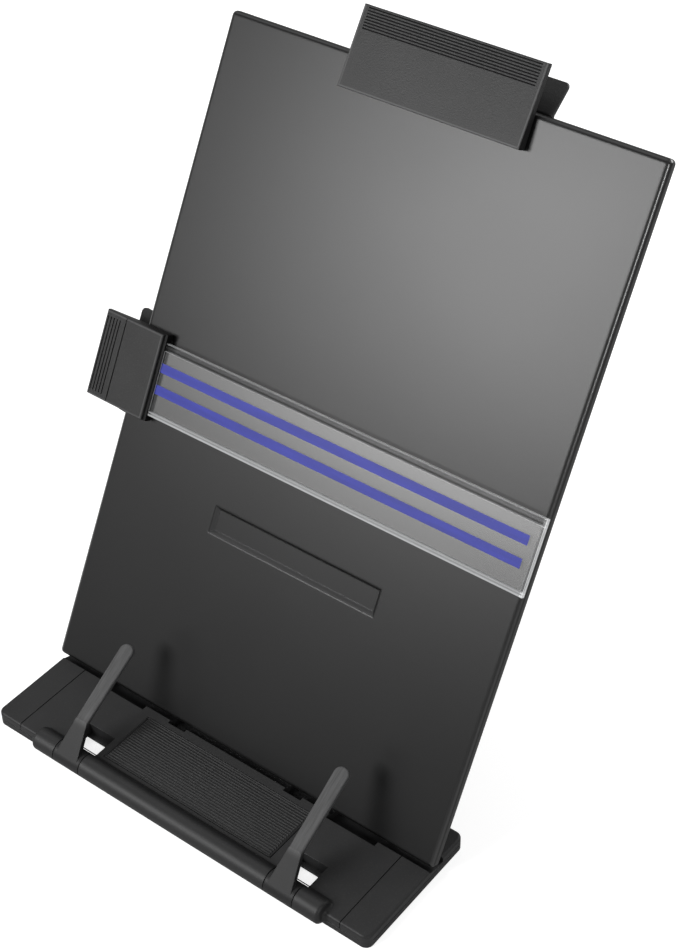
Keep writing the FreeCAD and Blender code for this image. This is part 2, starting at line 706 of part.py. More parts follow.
def make_end_cap(side, label):
    piece = Piece(label)
    half = S.base_width / 2
    low, high = across(side, half - S.cap_width, half)
    outer = high if side > 0 else low
    piece.add("XY", S.foot_proud, S.base_top, rectangle(low, high, -S.base_front, S.base_back))
    piece.round_edges(S.cap_corner, edges_along("z", x=outer))
    seam = low if side > 0 else high
    piece.round_edges(S.base_round,
                      edges_on_level(S.base_top, apart_from=edges_along("y", x=seam)))
    piece.cut("YZ", low, high, trough_outline())
    inner = half - S.cap_width
    start, end = across(side, inner, inner + S.seam_width)
    piece.cut("XY", S.base_top - S.seam_depth, S.base_top,
              rectangle(start, end, -S.base_front, S.base_back))
    piece.cut("XY", S.groove_low, S.base_top,
              rectangle(start, end, -S.base_front, S.seam_depth - S.base_front))
    for y in (-S.base_front, S.base_back - S.groove_depth):
        start, end = across(side, inner, half - S.cap_corner)
        piece.cut("XY", S.groove_low, S.groove_high, rectangle(start, end, y, y + S.groove_depth))
    start, end = across(side, half - S.groove_depth, half)
    piece.cut("XY", S.groove_low, S.groove_high,
              rectangle(start, end, S.cap_corner - S.base_front, S.base_back - S.cap_corner))
    start, end = across(side, inner - S.tongue_reach, inner)
    piece.add("XY", S.tongue_low, S.tongue_high,
              rectangle(start, end, -S.tongue_front, -S.tongue_back))
    return piece.place(Placement())


def make_bottom_cover():
    piece = Piece("bottom_cover")
    half = cover_hole_half() - S.cover_gap
    top = S.foot_proud + S.cover_thick
    piece.add("XY", S.foot_proud, top,
              rectangle(-half, half, S.cover_gap - S.cover_front, S.cover_back - S.cover_gap))
    for side in (-1, 1):
        low, high = knuckle_gap(side)
        piece.cut("XY", S.foot_proud, top, rectangle(low, high, -S.cover_front, -S.window_lip))
    for middle in strip_places():
        piece.cut("XY", S.foot_proud, S.foot_proud + S.strip_sunk,
                  rectangle(-strip_half(), strip_half(),
                            middle - S.strip_width / 2, middle + S.strip_width / 2))
    for x, y in screw_places():
        piece.cut_round("XY", S.foot_proud, screw_seat(), (x, y), S.screw_head + S.screw_gap)
        piece.cut_round("XY", screw_seat(), top, (x, y), S.screw_radius + S.screw_gap)
    return piece.place(Placement())


def strip_places():
    return (as_size(0), -S.front_strip)


def strip_half():
    return cover_hole_half() - S.strip_inset


def make_rubber_strips():
    length = strip_half() * 2
    height = S.foot_proud + S.strip_sunk
    strips = [block((length, S.strip_width, height), (-strip_half(), middle - S.strip_width / 2, 0))
              for middle in strip_places()]
    return group("rubber_strips", strips)


def make_base_screws():
    seat = screw_seat()
    screws = []
    for x, y in screw_places():
        head = cylinder(S.screw_head, S.screw_head_thick, (x, y, seat - S.screw_head_thick))
        shank = cylinder(S.screw_radius, S.screw_long, (x, y, seat))
        screws.append(fused(head, shank))
    return group("base_screws", screws)


def make_ribbed_pad():
    piece = Piece("ribbed_pad")
    low = S.base_top - S.pad_thick
    half = pad_half()
    piece.add("XY", low, S.base_top, rectangle(-half, half, -S.pad_front, -S.pad_back))
    first = -S.pad_front + S.rib_rim
    rib = piece.add("XY", S.base_top, S.base_top + S.rib_height,
                    rectangle(S.rib_rim - half, half - S.rib_rim,
                              first, first + S.rib_width))
    span = S.pad_front - S.pad_back - S.rib_rim * 2 - S.rib_width
    piece.repeat(rib, "Y_Axis", span, RIB_COUNT)
    return piece.place(Placement())


def make_hinge_rod():
    piece = Piece("hinge_rod")
    piece.add_round("YZ", -hinge_rod_half(), hinge_rod_half(), (0, S.hinge_up),
                    S.hinge_rod_radius)
    return piece.place(Placement())


# ---------------------------------------------------------------- page arms


def arm_frame():
    """The barrel's axis, with Y along the mean slope of an arm's two stretches."""
    slope = float(S.arm_lower_rise + S.arm_upper_rise) / 2
    return Placement(Vector(0, -float(S.barrel_front), float(S.barrel_up)),
                     Rotation(Vector(1, 0, 0), slope))


def make_page_arm(side, label):
    """A flat bar bent once, which leaves its knuckle on a tangent and narrows to its crease."""
    piece = Piece(label)
    low, high = knuckle_gap(side, S.knuckle_clear)
    middle = (low + high) / 2
    start, crease, tip = arm_middle_line()
    piece.add("YZ", low, high, arm_side_view())
    before, beyond = start[0] - S.arm_thick, tip[0] + S.arm_thick
    wide = high - low
    for hand in (-1, 1):
        foot, waist, end = (middle + width / 2 * hand
                            for width in (S.arm_foot, S.arm_waist, S.arm_tip))
        away = middle + wide * hand
        piece.cut("XY", -S.arm_drop, S.arm_drop,
                  [(foot, before), (waist, crease[0]), (end, beyond), (away, beyond),
                   (away, before)])

    def tip_corner(edge):
        across_tip = abs(edge.Length - float(S.arm_thick)) < TOLERANCE
        return across_tip and edge.CenterOfMass.y > float(tip[0] - S.arm_thick)

    def long_edge(edge):
        return edge.Length > float(S.arm_upper - S.arm_waist)

    piece.round_edges(S.arm_tip_round, tip_corner)
    piece.round_edges(S.arm_round, long_edge)
    piece.add_round("YZ", low, high, (0, 0), S.barrel_radius)
    piece.cut_round("YZ", low, high, (0, 0), S.arm_bush_radius)
    return piece.place(arm_frame())


def arm_middle_line():
    """The knuckle end, the crease and the tip of the middle of an arm's bar, from the side."""
    bend = (S.arm_lower_rise - S.arm_upper_rise) / 2
    offset = S.barrel_radius - S.arm_thick / 2
    start = (-sine(bend) * offset, cosine(bend) * offset)
    crease = (start[0] + cosine(bend) * S.arm_lower, start[1] + sine(bend) * S.arm_lower)
    tip = (crease[0] + cosine(bend) * S.arm_upper, crease[1] - sine(bend) * S.arm_upper)
    return start, crease, tip


def arm_side_view():
    """The bar seen from the side, as thick above its middle line as below it."""
    bend = (S.arm_lower_rise - S.arm_upper_rise) / 2
    start, crease, tip = arm_middle_line()
    half = S.arm_thick / 2
    across_bar, up = sine(bend) * half, cosine(bend) * half
    mitre = half / cosine(bend)
    return [(start[0] - across_bar, start[1] + up), (crease[0], crease[1] + mitre),
            (tip[0] + across_bar, tip[1] + up), (tip[0] - across_bar, tip[1] - up),
            (crease[0], crease[1] - mitre), (start[0] + across_bar, start[1] - up)]


def make_arm_bush(side, label):
    piece = Piece(label)
    low, high = knuckle_gap(side, S.knuckle_clear)
    axis = (-S.barrel_front, S.barrel_up)
    piece.add_round("YZ", low, high, axis, S.arm_bush_radius)
    piece.cut_round("YZ", low, high, axis, S.arm_rod_radius + S.run_clear)
    return piece.place(Placement())


def make_arm_rod(side, label):
    piece = Piece(label)
    low, high = arm_rod_ends(side)
    piece.add_round("YZ", low, high, (-S.barrel_front, S.barrel_up), S.arm_rod_radius)
    return piece.place(Placement())


# ---------------------------------------------------------------- board


def back_plane():
    """Tilt axis to the plane of the lips behind the board."""
    return S.face_offset - S.board_thick


def make_board_panel():
    piece = Piece("board_panel")
    half = S.board_width / 2
    top = S.board_height - S.board_drop
    back = back_plane()
    piece.add("XY", back, S.face_offset, rectangle(-half, half, -S.board_drop, top))
    piece.round_edges(S.board_corner, edges_along("z"))
    piece.round_edges(S.board_roll, edges_on_level(S.face_offset))
    piece.round_edges(S.board_back_roll, edges_on_level(back))
    lip = S.board_lip
    piece.cut("XY", back, back + S.sheet_thick,
              rectangle(lip - half, half - lip, lip - S.board_drop, top - lip))
    wall = S.sheet_thick
    piece.cut("XY", back + wall, S.face_offset - wall,
              rectangle(wall - half, half - wall, wall - S.board_drop, top - wall))
    floor = S.face_offset - S.recess_depth
    piece.add("XY", floor - wall, S.face_offset - wall,
              rectangle(-S.recess_half - wall, S.recess_half + wall,
                        S.recess_low - wall, S.recess_high + wall))
    shrink = tangent(S.recess_slope) * S.recess_depth
    piece.cut("XY", floor, S.face_offset,
              rectangle(shrink - S.recess_half, S.recess_half - shrink,
                        S.recess_low + shrink, S.recess_high - shrink),
              slope=S.recess_slope)
    margin = S.board_roll * 2
    piece.round_edges(S.recess_rim,
                      edges_inside(S.face_offset, margin - half, half - margin,
                                   margin - S.board_drop, top - margin))
    for x in rivet_places():
        piece.cut_round("XY", back, back + wall, (x, S.rivet_up), S.rivet_radius)
    return piece.place(board_frame())


def bracket_middle():
    inner, outer = slot_ends()
    return (inner + outer) / 2


def rivet_places():
    return [bracket_middle() * side + S.rivet_apart / 2 * hand
            for side in (-1, 1) for hand in (-1, 1)]


def make_hinge_bracket(side, label):
    """A steel plate behind the board's bottom lip, curled round the hinge rod."""
    piece = Piece(label)
    middle = bracket_middle() * side
    low, high = middle - S.bracket_width / 2, middle + S.bracket_width / 2
    back = back_plane()
    piece.add_round("YZ", low, high, (0, 0), back)
    piece.add("XY", back - S.bracket_thick, back,
              rectangle(low, high, 0, S.board_lip - S.board_drop))
    piece.cut_round("YZ", low, high, (0, 0), S.hinge_rod_radius + S.run_clear)
    for hand in (-1, 1):
        piece.cut_round("XY", back - S.bracket_thick, back,
                        (middle + S.rivet_apart / 2 * hand, S.rivet_up), S.rivet_radius)
    return piece.place(board_frame())


def make_hinge_rivets():
    back = back_plane()
    outside = back - S.bracket_thick
    inside = back + S.sheet_thick
    rivets = []
    for x in rivet_places():
        shank = cylinder(S.rivet_radius, inside - outside, (x, S.rivet_up, outside))
        tail = cylinder(S.rivet_head, S.rivet_head_thick, (x, S.rivet_up, inside))
        head = cylinder(S.rivet_head, S.rivet_head_thick,
                        (x, S.rivet_up, outside - S.rivet_head_thick))
        rivets.append(fused(head, shank, tail))
    return group("hinge_rivets", rivets, board_frame())


# ---------------------------------------------------------------- rear leg


def ear_inside():
    """Middle of the board to the inner face of the leg bracket's ears."""
    return S.leg_width / 2 + S.washer_gap * 2 + S.washer_thick


def make_leg_bracket():
    """A steel channel welded behind the recess, with an ear at each end for the leg's pin."""
    piece = Piece("leg_bracket")
    seat = S.face_offset - S.recess_depth - S.sheet_thick
    inside = ear_inside()
    outside = inside + S.ear_thick
    piece.add("XY", seat - S.ear_thick, seat,
              rectangle(-outside, outside, S.recess_low, S.recess_high))
    for side in (-1, 1):
        low, high = across(side, inside, outside)
        piece.add("XY", 0, seat,
                  rectangle(low, high, S.leg_pivot - S.ear_radius, S.leg_pivot + S.ear_radius))
        piece.add_round("YZ", low, high, (S.leg_pivot, 0), S.ear_radius)
        piece.cut_round("YZ", low, high, (S.leg_pivot, 0), S.leg_pin_radius)
    return piece.place(board_frame())


def make_leg_pin():
    piece = Piece("leg_pin")
    outside = ear_inside() + S.ear_thick
    piece.add_round("YZ", -outside, outside, (S.leg_pivot, 0), S.leg_pin_radius)
    for side in (-1, 1):
        low, high = across(side, outside, outside + S.leg_pin_head_thick)
        piece.add_round("YZ", low, high, (S.leg_pivot, 0), S.leg_pin_head)
    return piece.place(board_frame())


def make_friction_washer(side, label):
    piece = Piece(label)
    start = S.leg_width / 2 + S.washer_gap
    low, high = across(side, start, start + S.washer_thick)
    piece.add_round("YZ", low, high, (S.leg_pivot, 0), S.washer_radius)
    piece.cut_round("YZ", low, high, (S.leg_pivot, 0), S.leg_pin_radius)
    return piece.place(board_frame())


def make_rear_leg():
    """A pressed steel channel with two stiffening beads and an eye at each side."""
    piece = Piece("rear_leg")
    half = S.leg_width / 2
    top = S.leg_flange / 2
    flange_end = S.leg_pivot - S.foot_radius
    piece.add("XY", top - S.leg_sheet, top, rectangle(-half, half, S.leg_plate_start, S.leg_pivot))
    for side in (-1, 1):
        low, high = across(side, half - S.leg_sheet, half)
        piece.add("XY", -top, top, rectangle(low, high, 0, flange_end))
        piece.add_round("YZ", low, high, (0, 0), S.leg_eye)
        piece.cut_round("YZ", low, high, (0, 0), S.leg_pin_radius + S.run_clear)
        middle = S.leg_bead_half * side
        bead = rectangle(middle - S.leg_bead_width / 2, middle + S.leg_bead_width / 2,
                         S.leg_bead_start, flange_end - S.leg_plate_start)
        piece.add("XY", top, top + S.leg_bead_high, bead)
    return piece.place(leg_frame())


def make_leg_foot():
    """A rubber sleeve pushed on the end of the leg's plate."""
    piece = Piece("leg_foot")
    half = S.leg_width / 2
    top = S.leg_flange / 2
    piece.add_round("YZ", -half, half, (S.leg_pivot, 0), S.foot_radius)
    piece.cut("XY", top - S.leg_sheet, top,
              rectangle(-half, half, S.leg_pivot - S.foot_radius, S.leg_pivot))
    return piece.place(leg_frame())


# ---------------------------------------------------------------- spring clips


class Clip:
    """What differs between the page clip and the clip that carries the line guide."""

    def __init__(self, length, jaw_in, stand_in, stand_out, rounding, lever_out, flare, frame):
        self.half = length / 2
        self.jaw_in = jaw_in
        self.stand_in = stand_in
        self.fall = (stand_in - stand_out) / (jaw_in + S.jaw_out)
        self.rounding = rounding
        self.lever_out = lever_out
        self.flare = flare
        self.frame = frame

    def front(self, out):
        """Board's face to the front of the sloping jaw, at a distance out from the edge."""
        return self.stand_in - (self.jaw_in + out) * self.fall

    def layer(self, near, far, depth):
        """A layer below the front of the jaw, seen from the side."""
        return [(near, self.front(near) - depth), (far, self.front(far) - depth),
                (far, self.front(far)), (near, self.front(near))]

    def lever(self, out):
        """Board's face to the front of the lever."""
        return -S.board_thick - S.edge_gap - tangent(self.flare) * (out - S.lever_start)


def make_jaw(clip, label, groove_start, groove_pitch, groove_count):
    """A finger plate with side walls, ears for the pin and grooves for the finger."""
    piece = Piece(label)
    half = clip.half
    piece.add("YZ", -half, half, clip.layer(-clip.jaw_in, S.jaw_out, S.jaw_thick))
    outer = clip.front(S.jaw_out)
    wall = [(-clip.jaw_in, S.jaw_wall_low), (S.pin_out, S.jaw_wall_low),
            (S.jaw_out, outer - S.jaw_wall_end), (S.jaw_out, outer),
            (-clip.jaw_in, clip.front(-clip.jaw_in))]
    for side in (-1, 1):
        low, high = across(side, half - S.jaw_wall, half)
        piece.add("YZ", low, high, wall)
    piece.round_edges(clip.rounding, edges_in_front(clip))
    for side in (-1, 1):
        low, high = across(side, S.jaw_ear_in, S.jaw_ear_in + S.jaw_ear_thick)
        piece.add("YZ", low, high,
                  rectangle(S.pin_out - S.ear_round, S.pin_out + S.ear_round,
                            -S.pin_deep, clip.front(S.pin_out) - S.jaw_thick / 2))
        piece.add_round("YZ", low, high, (S.pin_out, -S.pin_deep), S.ear_round)
        piece.cut_round("YZ", low, high, (S.pin_out, -S.pin_deep), S.pin_radius + S.run_clear)
    for number in range(groove_count):
        start = groove_start + groove_pitch * number
        piece.cut("YZ", S.grip_margin - half, half - S.grip_margin,
                  clip.layer(start, start + S.grip_width, S.grip_depth))
    return piece


def edges_in_front(clip):
    """Picks the edges that lie in the sloping front of a jaw."""

    def chosen(edge):
        return all(abs(vertex.Point.z - float(clip.front(vertex.Point.y))) < TOLERANCE
                   for vertex in edge.Vertexes)

    return chosen


def make_clip_back(clip, label):
    """The plate behind the board, its lever and the ears that hold the pin."""
    piece = Piece(label)
    half = clip.half + S.back_extra
    front = clip.lever(S.lever_start)
    end = clip.lever(clip.lever_out)
    thick = S.back_thick
    side_view = [(-S.back_in, front - thick), (S.lever_start, front - thick),
                 (clip.lever_out, end - thick), (clip.lever_out, end),
                 (S.lever_start, front), (-S.back_in, front)]
    piece.add("YZ", -half, half, side_view)
    piece.round_edges(S.lever_corner, edges_near_ends(half, clip.lever_out))
    ear_out = S.pin_out + S.ear_round
    ear = [(S.back_ear_gap, front - thick), (S.lever_start, front - thick),
           (ear_out, clip.lever(ear_out) - thick), (ear_out, -S.pin_deep),
           (S.back_ear_gap, -S.pin_deep)]
    for side in (-1, 1):
        low, high = across(side, S.back_ear_in, S.back_ear_in + S.back_ear_thick)
        piece.add("YZ", low, high, ear)
        piece.add_round("YZ", low, high, (S.pin_out, -S.pin_deep), S.ear_round)
        piece.cut_round("YZ", low, high, (S.pin_out, -S.pin_deep), S.pin_radius)
    return piece.place(clip.frame)


def edges_near_ends(half, out):
    """Picks the corners at the far end of a lever."""

    def chosen(edge):
        middle = edge.CenterOfMass
        return (abs(abs(middle.x) - float(half)) < TOLERANCE
                and abs(middle.y - float(out)) < TOLERANCE
                and abs(edge.Length - float(S.back_thick)) < TOLERANCE)

    return chosen


def make_clip_pin(clip, label):
    piece = Piece(label)
    piece.add_round("YZ", -S.pin_half, S.pin_half, (S.pin_out, -S.pin_deep), S.pin_radius)
    return piece.place(clip.frame)


def make_torsion_spring(clip, label):
    """A coil round the pin, with one leg towards the lever and one towards the jaw."""
    wire = float(S.spring_wire) / 2
    radius = float(S.spring_radius)
    half = float(S.spring_half)
    centre = Vector(0, float(S.pin_out), -float(S.pin_deep))
    helix = Part.makeHelix(half * 2 / SPRING_TURN_COUNT, half * 2, radius, 0, True)
    section = Part.Wire(Part.makeCircle(wire, Vector(radius, 0, 0), Vector(0, 1, 0)))
    coil = Part.Wire(helix).makePipeShell([section], True, True)
    coil.rotate(Vector(), Vector(0, 1, 0), 90)
    coil.translate(centre - Vector(half, 0, 0))
    reach = float(S.spring_leg)
    on_lever = float(clip.lever(S.pin_out + S.spring_leg)) + wire
    under_jaw = centre.z + radius - reach * float(tangent(S.spring_leg_fall))
    legs = []
    for x, height, end in ((-half, -radius, on_lever), (half, radius, under_jaw)):
        start = centre + Vector(x, 0, height)
        leg = Vector(0, reach, end - start.z)
        legs.append(Part.makeCylinder(wire, leg.Length, start, leg))
    return solid(label, coil.multiFuse(legs), clip.frame)


def make_grip_pad(clip, label, inner_end):
    """A rubber strip under the gripping end of a jaw."""
    piece = Piece(label)
    half = clip.half - S.grip_margin
    piece.add("XY", S.edge_gap, S.edge_gap + S.grip_pad_thick,
              rectangle(-half, half, -inner_end, S.jaw_lip - inner_end))
    return piece.place(clip.frame)


# ---------------------------------------------------------------- line guide


def ruler_section():
    """Height of the line guide's back and front above the board's face."""
    return S.ruler_stand, S.ruler_stand + S.ruler_thick


def make_ruler_socket(clip):
    """The black block under the guide's jaw that holds the end of the line guide."""
    piece = Piece("ruler_socket")
    low = S.edge_gap + S.grip_pad_thick
    between_walls = clip.half - S.jaw_wall
    piece.add("YZ", -between_walls, between_walls, under_jaw(clip, low, -S.socket_start))
    back, front = ruler_section()
    piece.add("XY", low, front + S.socket_roof,
              rectangle(-S.socket_half, S.socket_half, -S.socket_reach, -clip.jaw_in))
    piece.cut("XY", back, front,
              rectangle(-S.ruler_low, S.ruler_high, -S.socket_reach, -S.ruler_start))
    return piece.place(clip.frame)


def under_jaw(clip, low, out):
    """What fills the space below the gripping end of a jaw, seen from the side."""
    return [(-clip.jaw_in, low), (out, low), (out, clip.front(out) - S.jaw_thick),
            (-clip.jaw_in, clip.front(-clip.jaw_in) - S.jaw_thick)]


def stripe_outlines():
    rows = ((S.stripe_high, S.stripe_high + S.stripe_width),
            (-S.stripe_low - S.stripe_width, -S.stripe_low))
    return [(low, high, -S.stripe_end, -S.socket_reach) for low, high in rows]


def make_line_guide(clip):
    """A clear bar with a raised rim and two shallow beds for the stripes."""
    piece = Piece("line_guide")
    back, front = ruler_section()
    piece.add("XY", back, front,
              rectangle(-S.ruler_low, S.ruler_high, -S.ruler_end, -S.ruler_start))
    panel = front - S.ruler_sunk
    piece.cut("XY", panel, front,
              rectangle(S.ruler_low_rim - S.ruler_low, S.ruler_high - S.ruler_rim,
                        S.ruler_end_rim - S.ruler_end, -S.socket_reach))
    for low, high, far, near in stripe_outlines():
        piece.cut("XY", panel - S.stripe_thick, panel, rectangle(low, high, far, near))
    return piece.place(clip.frame)


def make_guide_stripes(clip):
    top = S.ruler_stand + S.ruler_thick - S.ruler_sunk
    stripes = [block((high - low, near - far, S.stripe_thick), (low, far, top - S.stripe_thick))
               for low, high, far, near in stripe_outlines()]
    return group("guide_stripes", stripes, clip.frame)


def make_page_clip():
    clip = Clip(S.clip_length, S.jaw_in, S.clip_stand, S.clip_stand_out, S.jaw_round,
                S.lever_out, S.lever_flare, clip_frame())
    jaw = make_jaw(clip, "clip_jaw", S.grip_start, S.grip_pitch, CLIP_GROOVE_COUNT)
    lip = clip.half - S.jaw_wall
    jaw.add("YZ", -lip, lip,
            under_jaw(clip, S.edge_gap + S.grip_pad_thick, S.jaw_lip - clip.jaw_in))
    return [jaw.place(clip.frame),
            make_clip_back(clip, "clip_back"),
            make_clip_pin(clip, "clip_pin"),
            make_torsion_spring(clip, "clip_spring"),
            make_grip_pad(clip, "clip_grip_pad", clip.jaw_in)]


def make_guide_clip():
    clip = Clip(S.guide_length, S.guide_jaw_in, S.guide_stand, S.guide_stand_out,
                S.guide_jaw_round, S.guide_lever_out, S.guide_lever_flare, guide_frame())
    jaw = make_jaw(clip, "guide_jaw", S.guide_grip_start, S.guide_grip_pitch,
                   GUIDE_GROOVE_COUNT)
    jaw.cut("YZ", -clip.half, clip.half,
            clip.layer(S.guide_line, S.guide_line + S.grip_width, S.grip_depth))
    return [jaw.place(clip.frame),
            make_clip_back(clip, "guide_back"),
            make_clip_pin(clip, "guide_pin"),
            make_torsion_spring(clip, "guide_spring"),
            make_grip_pad(clip, "guide_grip_pad", S.socket_reach),
            make_ruler_socket(clip),
            make_line_guide(clip),
            make_guide_stripes(clip)]


# ---------------------------------------------------------------- the whole holder


def make_pieces():
    pieces = [make_base_shelf(), make_bottom_cover(), make_rubber_strips(), make_base_screws(),
              make_ribbed_pad(), make_hinge_rod(), make_board_panel(), make_hinge_rivets(),
              make_leg_bracket(), make_leg_pin(), make_rear_leg(), make_leg_foot()]
    for side, name in ((-1, "left"), (1, "right")):
        pieces.append(make_end_cap(side, name + "_end_cap"))
        pieces.append(make_page_arm(side, name + "_page_arm"))
        pieces.append(make_arm_bush(side, name + "_arm_bush"))
        pieces.append(make_arm_rod(side, name + "_arm_rod"))
        pieces.append(make_hinge_bracket(side, name + "_hinge_bracket"))
        pieces.append(make_friction_washer(side, name + "_friction_washer"))
    return pieces + make_page_clip() + make_guide_clip()


def check_document():
    doc.recompute()
    failed = [item.Name for item in doc.Objects
              if "Invalid" in item.State or "Error" in item.State]
    if failed:
        raise RuntimeError("not recomputed: " + ", ".join(failed))


def export(pieces):
    os.makedirs("parts", exist_ok=True)
    for piece in pieces:
        shape = piece.Shape
        if shape.isNull() or not shape.isValid() or not shape.Solids:
            raise RuntimeError("bad shape: " + piece.Label)
        shape.exportStep("parts/%s.step" % piece.Label)
        print("%-24s %2d solids %10.1f mm3" % (piece.Label, len(shape.Solids), shape.Volume))


fill_sheet()
S = Named(read_sheet())
all_pieces = make_pieces()
check_document()
export(all_pieces)
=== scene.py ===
import math
from collections import namedtuple

import bmesh
import bpy
from bpy.props import FloatProperty, FloatVectorProperty, IntProperty, PointerProperty
from mathutils import Matrix, Vector


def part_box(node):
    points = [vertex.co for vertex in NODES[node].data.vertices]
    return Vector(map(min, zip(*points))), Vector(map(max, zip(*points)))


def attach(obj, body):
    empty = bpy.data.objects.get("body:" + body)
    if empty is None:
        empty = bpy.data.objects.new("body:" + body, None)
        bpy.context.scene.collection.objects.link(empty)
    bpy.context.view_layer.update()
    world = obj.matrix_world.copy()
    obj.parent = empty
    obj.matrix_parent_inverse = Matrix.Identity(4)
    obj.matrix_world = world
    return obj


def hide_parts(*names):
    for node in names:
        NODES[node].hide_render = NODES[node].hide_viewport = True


bl_info = {
    "name": "Copy Holder with Line Guide",
    "version": (1, 0, 0),
    "blender": (4, 5, 0),
    "location": "3D View > Sidebar > Copy Holder",
    "description": "Finishes and small parts of a desk copy holder with a sliding line guide",
    "category": "Object",
}

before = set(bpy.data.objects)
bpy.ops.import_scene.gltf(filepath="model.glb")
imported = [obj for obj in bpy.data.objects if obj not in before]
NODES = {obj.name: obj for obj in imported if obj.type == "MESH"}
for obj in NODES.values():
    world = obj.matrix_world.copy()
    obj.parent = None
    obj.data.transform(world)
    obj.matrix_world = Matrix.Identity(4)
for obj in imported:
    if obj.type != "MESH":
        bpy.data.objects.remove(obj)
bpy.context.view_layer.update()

# The leaning pieces are laid out in the frames that carry them, in metres: the board's frame
# starts at its hinge, the clips' frames at the board's edges, the leg's at its pin. The
# others are laid out in the world's own frame.
WORLD = Matrix.Identity(4)
LEAN = math.radians(61.14)
BOARD = Matrix.Translation((-0.0019, 0.0, 0.006)) @ Matrix.Rotation(LEAN, 4, "X")
PAGE_CLIP = BOARD @ Matrix.Translation((0.0032, 0.37605, 0.01007))
GUIDE_CLIP = (BOARD @ Matrix.Translation((-0.13225, 0.17585, 0.01007))
              @ Matrix.Rotation(math.radians(90), 4, "Z"))
LEG = (BOARD @ Matrix.Translation((0.0, 0.116, 0.0))
       @ Matrix.Rotation(-2 * LEAN, 4, "X"))

# On the board, measured from its middle line and its hinge: half the recess's width, the
# recess's lower and upper bounds, and where the gloss on a rolled side edge starts, is full
# and ends.
RECESS_HALF, RECESS_LOW, RECESS_HIGH = 0.06, 0.10, 0.13
ROLL_START, ROLL_FULL, ROLL_END = 0.1296, 0.1302, 0.1321

# A clip's jaw: what carries it, half its width, how far its inner edge reaches over the
# board, and how high its front face stands there and how steeply it falls outwards.
Jaw = namedtuple("Jaw", "carrier half inner high fall")
PAGE_JAW = Jaw(PAGE_CLIP, half=0.0548, inner=0.0187, high=0.0065, fall=0.0937)
GUIDE_JAW = Jaw(GUIDE_CLIP, half=0.0248, inner=0.0183, high=0.0080, fall=0.0378)
# Where the finger grooves lie outwards of the board's edge, how far they end from the jaw's
# sides, and how deep they are.
GROOVES_START, GROOVES_END, GROOVES_MARGIN, GROOVE_DEPTH = 0.005, 0.0238, 0.0031, 0.0007

# The line guide in the guide clip's frame, where x runs up the board and the guide runs towards
# -y: the frosted panel's edges and face, the polished rims, and the painted highlight lines on
# them as place and half width, with the upper ones' strength.
PANEL_FOOT, PANEL_TOP, PANEL_START, PANEL_END = -0.0186, 0.0160, -0.0226, -0.2636
PANEL_FACE = 0.00475
RIM_FOOT, RIM_END = -0.0188, -0.2638
TOP_LINES = ((0.0202, 0.00022, 0.6), (0.0161, 0.0003, 0.5), (0.0183, 0.0005, 0.12))
FOOT_LINE = (-0.0200, 0.0004)
END_LINE = (-0.2654, 0.0003)

# A torsion spring: its centre in its clip's frame, the reach of its legs, the slope of the
# leg on the lever, and for each clip the slope of the leg towards the jaw.
SPRING_SEAT = Matrix.Translation((0.0, 0.005, -0.0014))
SPRING_REACH, LEVER_SLOPE = 0.0076, -0.2867
SPRINGS = (("clip_spring", "clip_carrier", PAGE_CLIP, -1.0217),
           ("guide_spring", "guide_carrier", GUIDE_CLIP, -0.6666))

# Each lamp with the setting of its power, its place, what it faces, and its width and height.
LAMPS = (
    ("front_light", "key_power", (-0.606, -1.226, 0.858), (0.0, 0.1, 0.2), 0.57, 0.57),
    ("top_light", "top_power", (-0.65, 0.5, 1.6), (0.0, 0.05, 0.15), 1.4, 1.0),
    ("rear_light", "rear_power", (0.6, 1.4, 0.7), (0.0, 0.1, 0.12), 0.9, 0.5),
    ("edge_light", "edge_power", (1.22, -0.52, 0.56), (0.13, 0.12, 0.25), 0.16, 0.42),
)
# How much of the floor's and the room's glow shows in glossy reflections.
MIRRORED = 0.15
# The floor's glow beside the holder, and from where to where it rises to white.
NEAR_GLOW, GLOW_START, GLOW_FULL = 0.74, 0.5, 1.4

# The camera's azimuth, elevation and roll in degrees, what it turns about, how far it stands
# from there, and its lens and the width of its sensor in millimetres.
CAMERA_ANGLES = (38.321, 39.602, -1.144)
CAMERA_PIVOT = Vector((-0.02391, 0.1164, 0.11285))
CAMERA_AWAY = 1.06177
LENS, SENSOR = 72.136, 36.0

# Vertices nearer to each other than this are one.
MERGE = 1e-6

# Shades beside the main colours: dust, wear, print and clear acrylic, and painted shade, light,
# sheen and highlights.
# Painted shade in the finger grooves of the clips' jaws.
GROOVE_SHADE = (0.001, 0.001, 0.001)
DUST = (0.3, 0.3, 0.29)
# A painted highlight along the front edges of the clips' jaws.
JAW_EDGE_HIGHLIGHT = (0.085, 0.085, 0.086)
# Wear streaks on the page arms' upper stretch, with a painted sheen.
ARM_WEAR_AND_SHEEN = (0.105, 0.105, 0.106)
# Painted light on the lower and left walls of the board's recess.
RECESS_WALL_LIGHT = (0.042, 0.042, 0.0425)
CLEAR_BODY = (0.05, 0.052, 0.052)
# Painted highlights on the line guide's rims and side walls.
PAINTED_RIM_SHINE = (0.8, 0.81, 0.82)
PALE_INK = (0.2, 0.21, 0.55)


# ---------------------------------------------------------------- settings


def colour(name, words, value):
    return FloatVectorProperty(name=name, description=words, default=value, size=3,
                               min=0.0, max=1.0, subtype="COLOR")


def length(name, words, value):
    return FloatProperty(name=name, description=words, default=value, min=0.0,
                         unit="LENGTH", precision=5)


def power(name, words, value):
    return FloatProperty(name=name, description=words, default=value, min=0.0, unit="POWER")


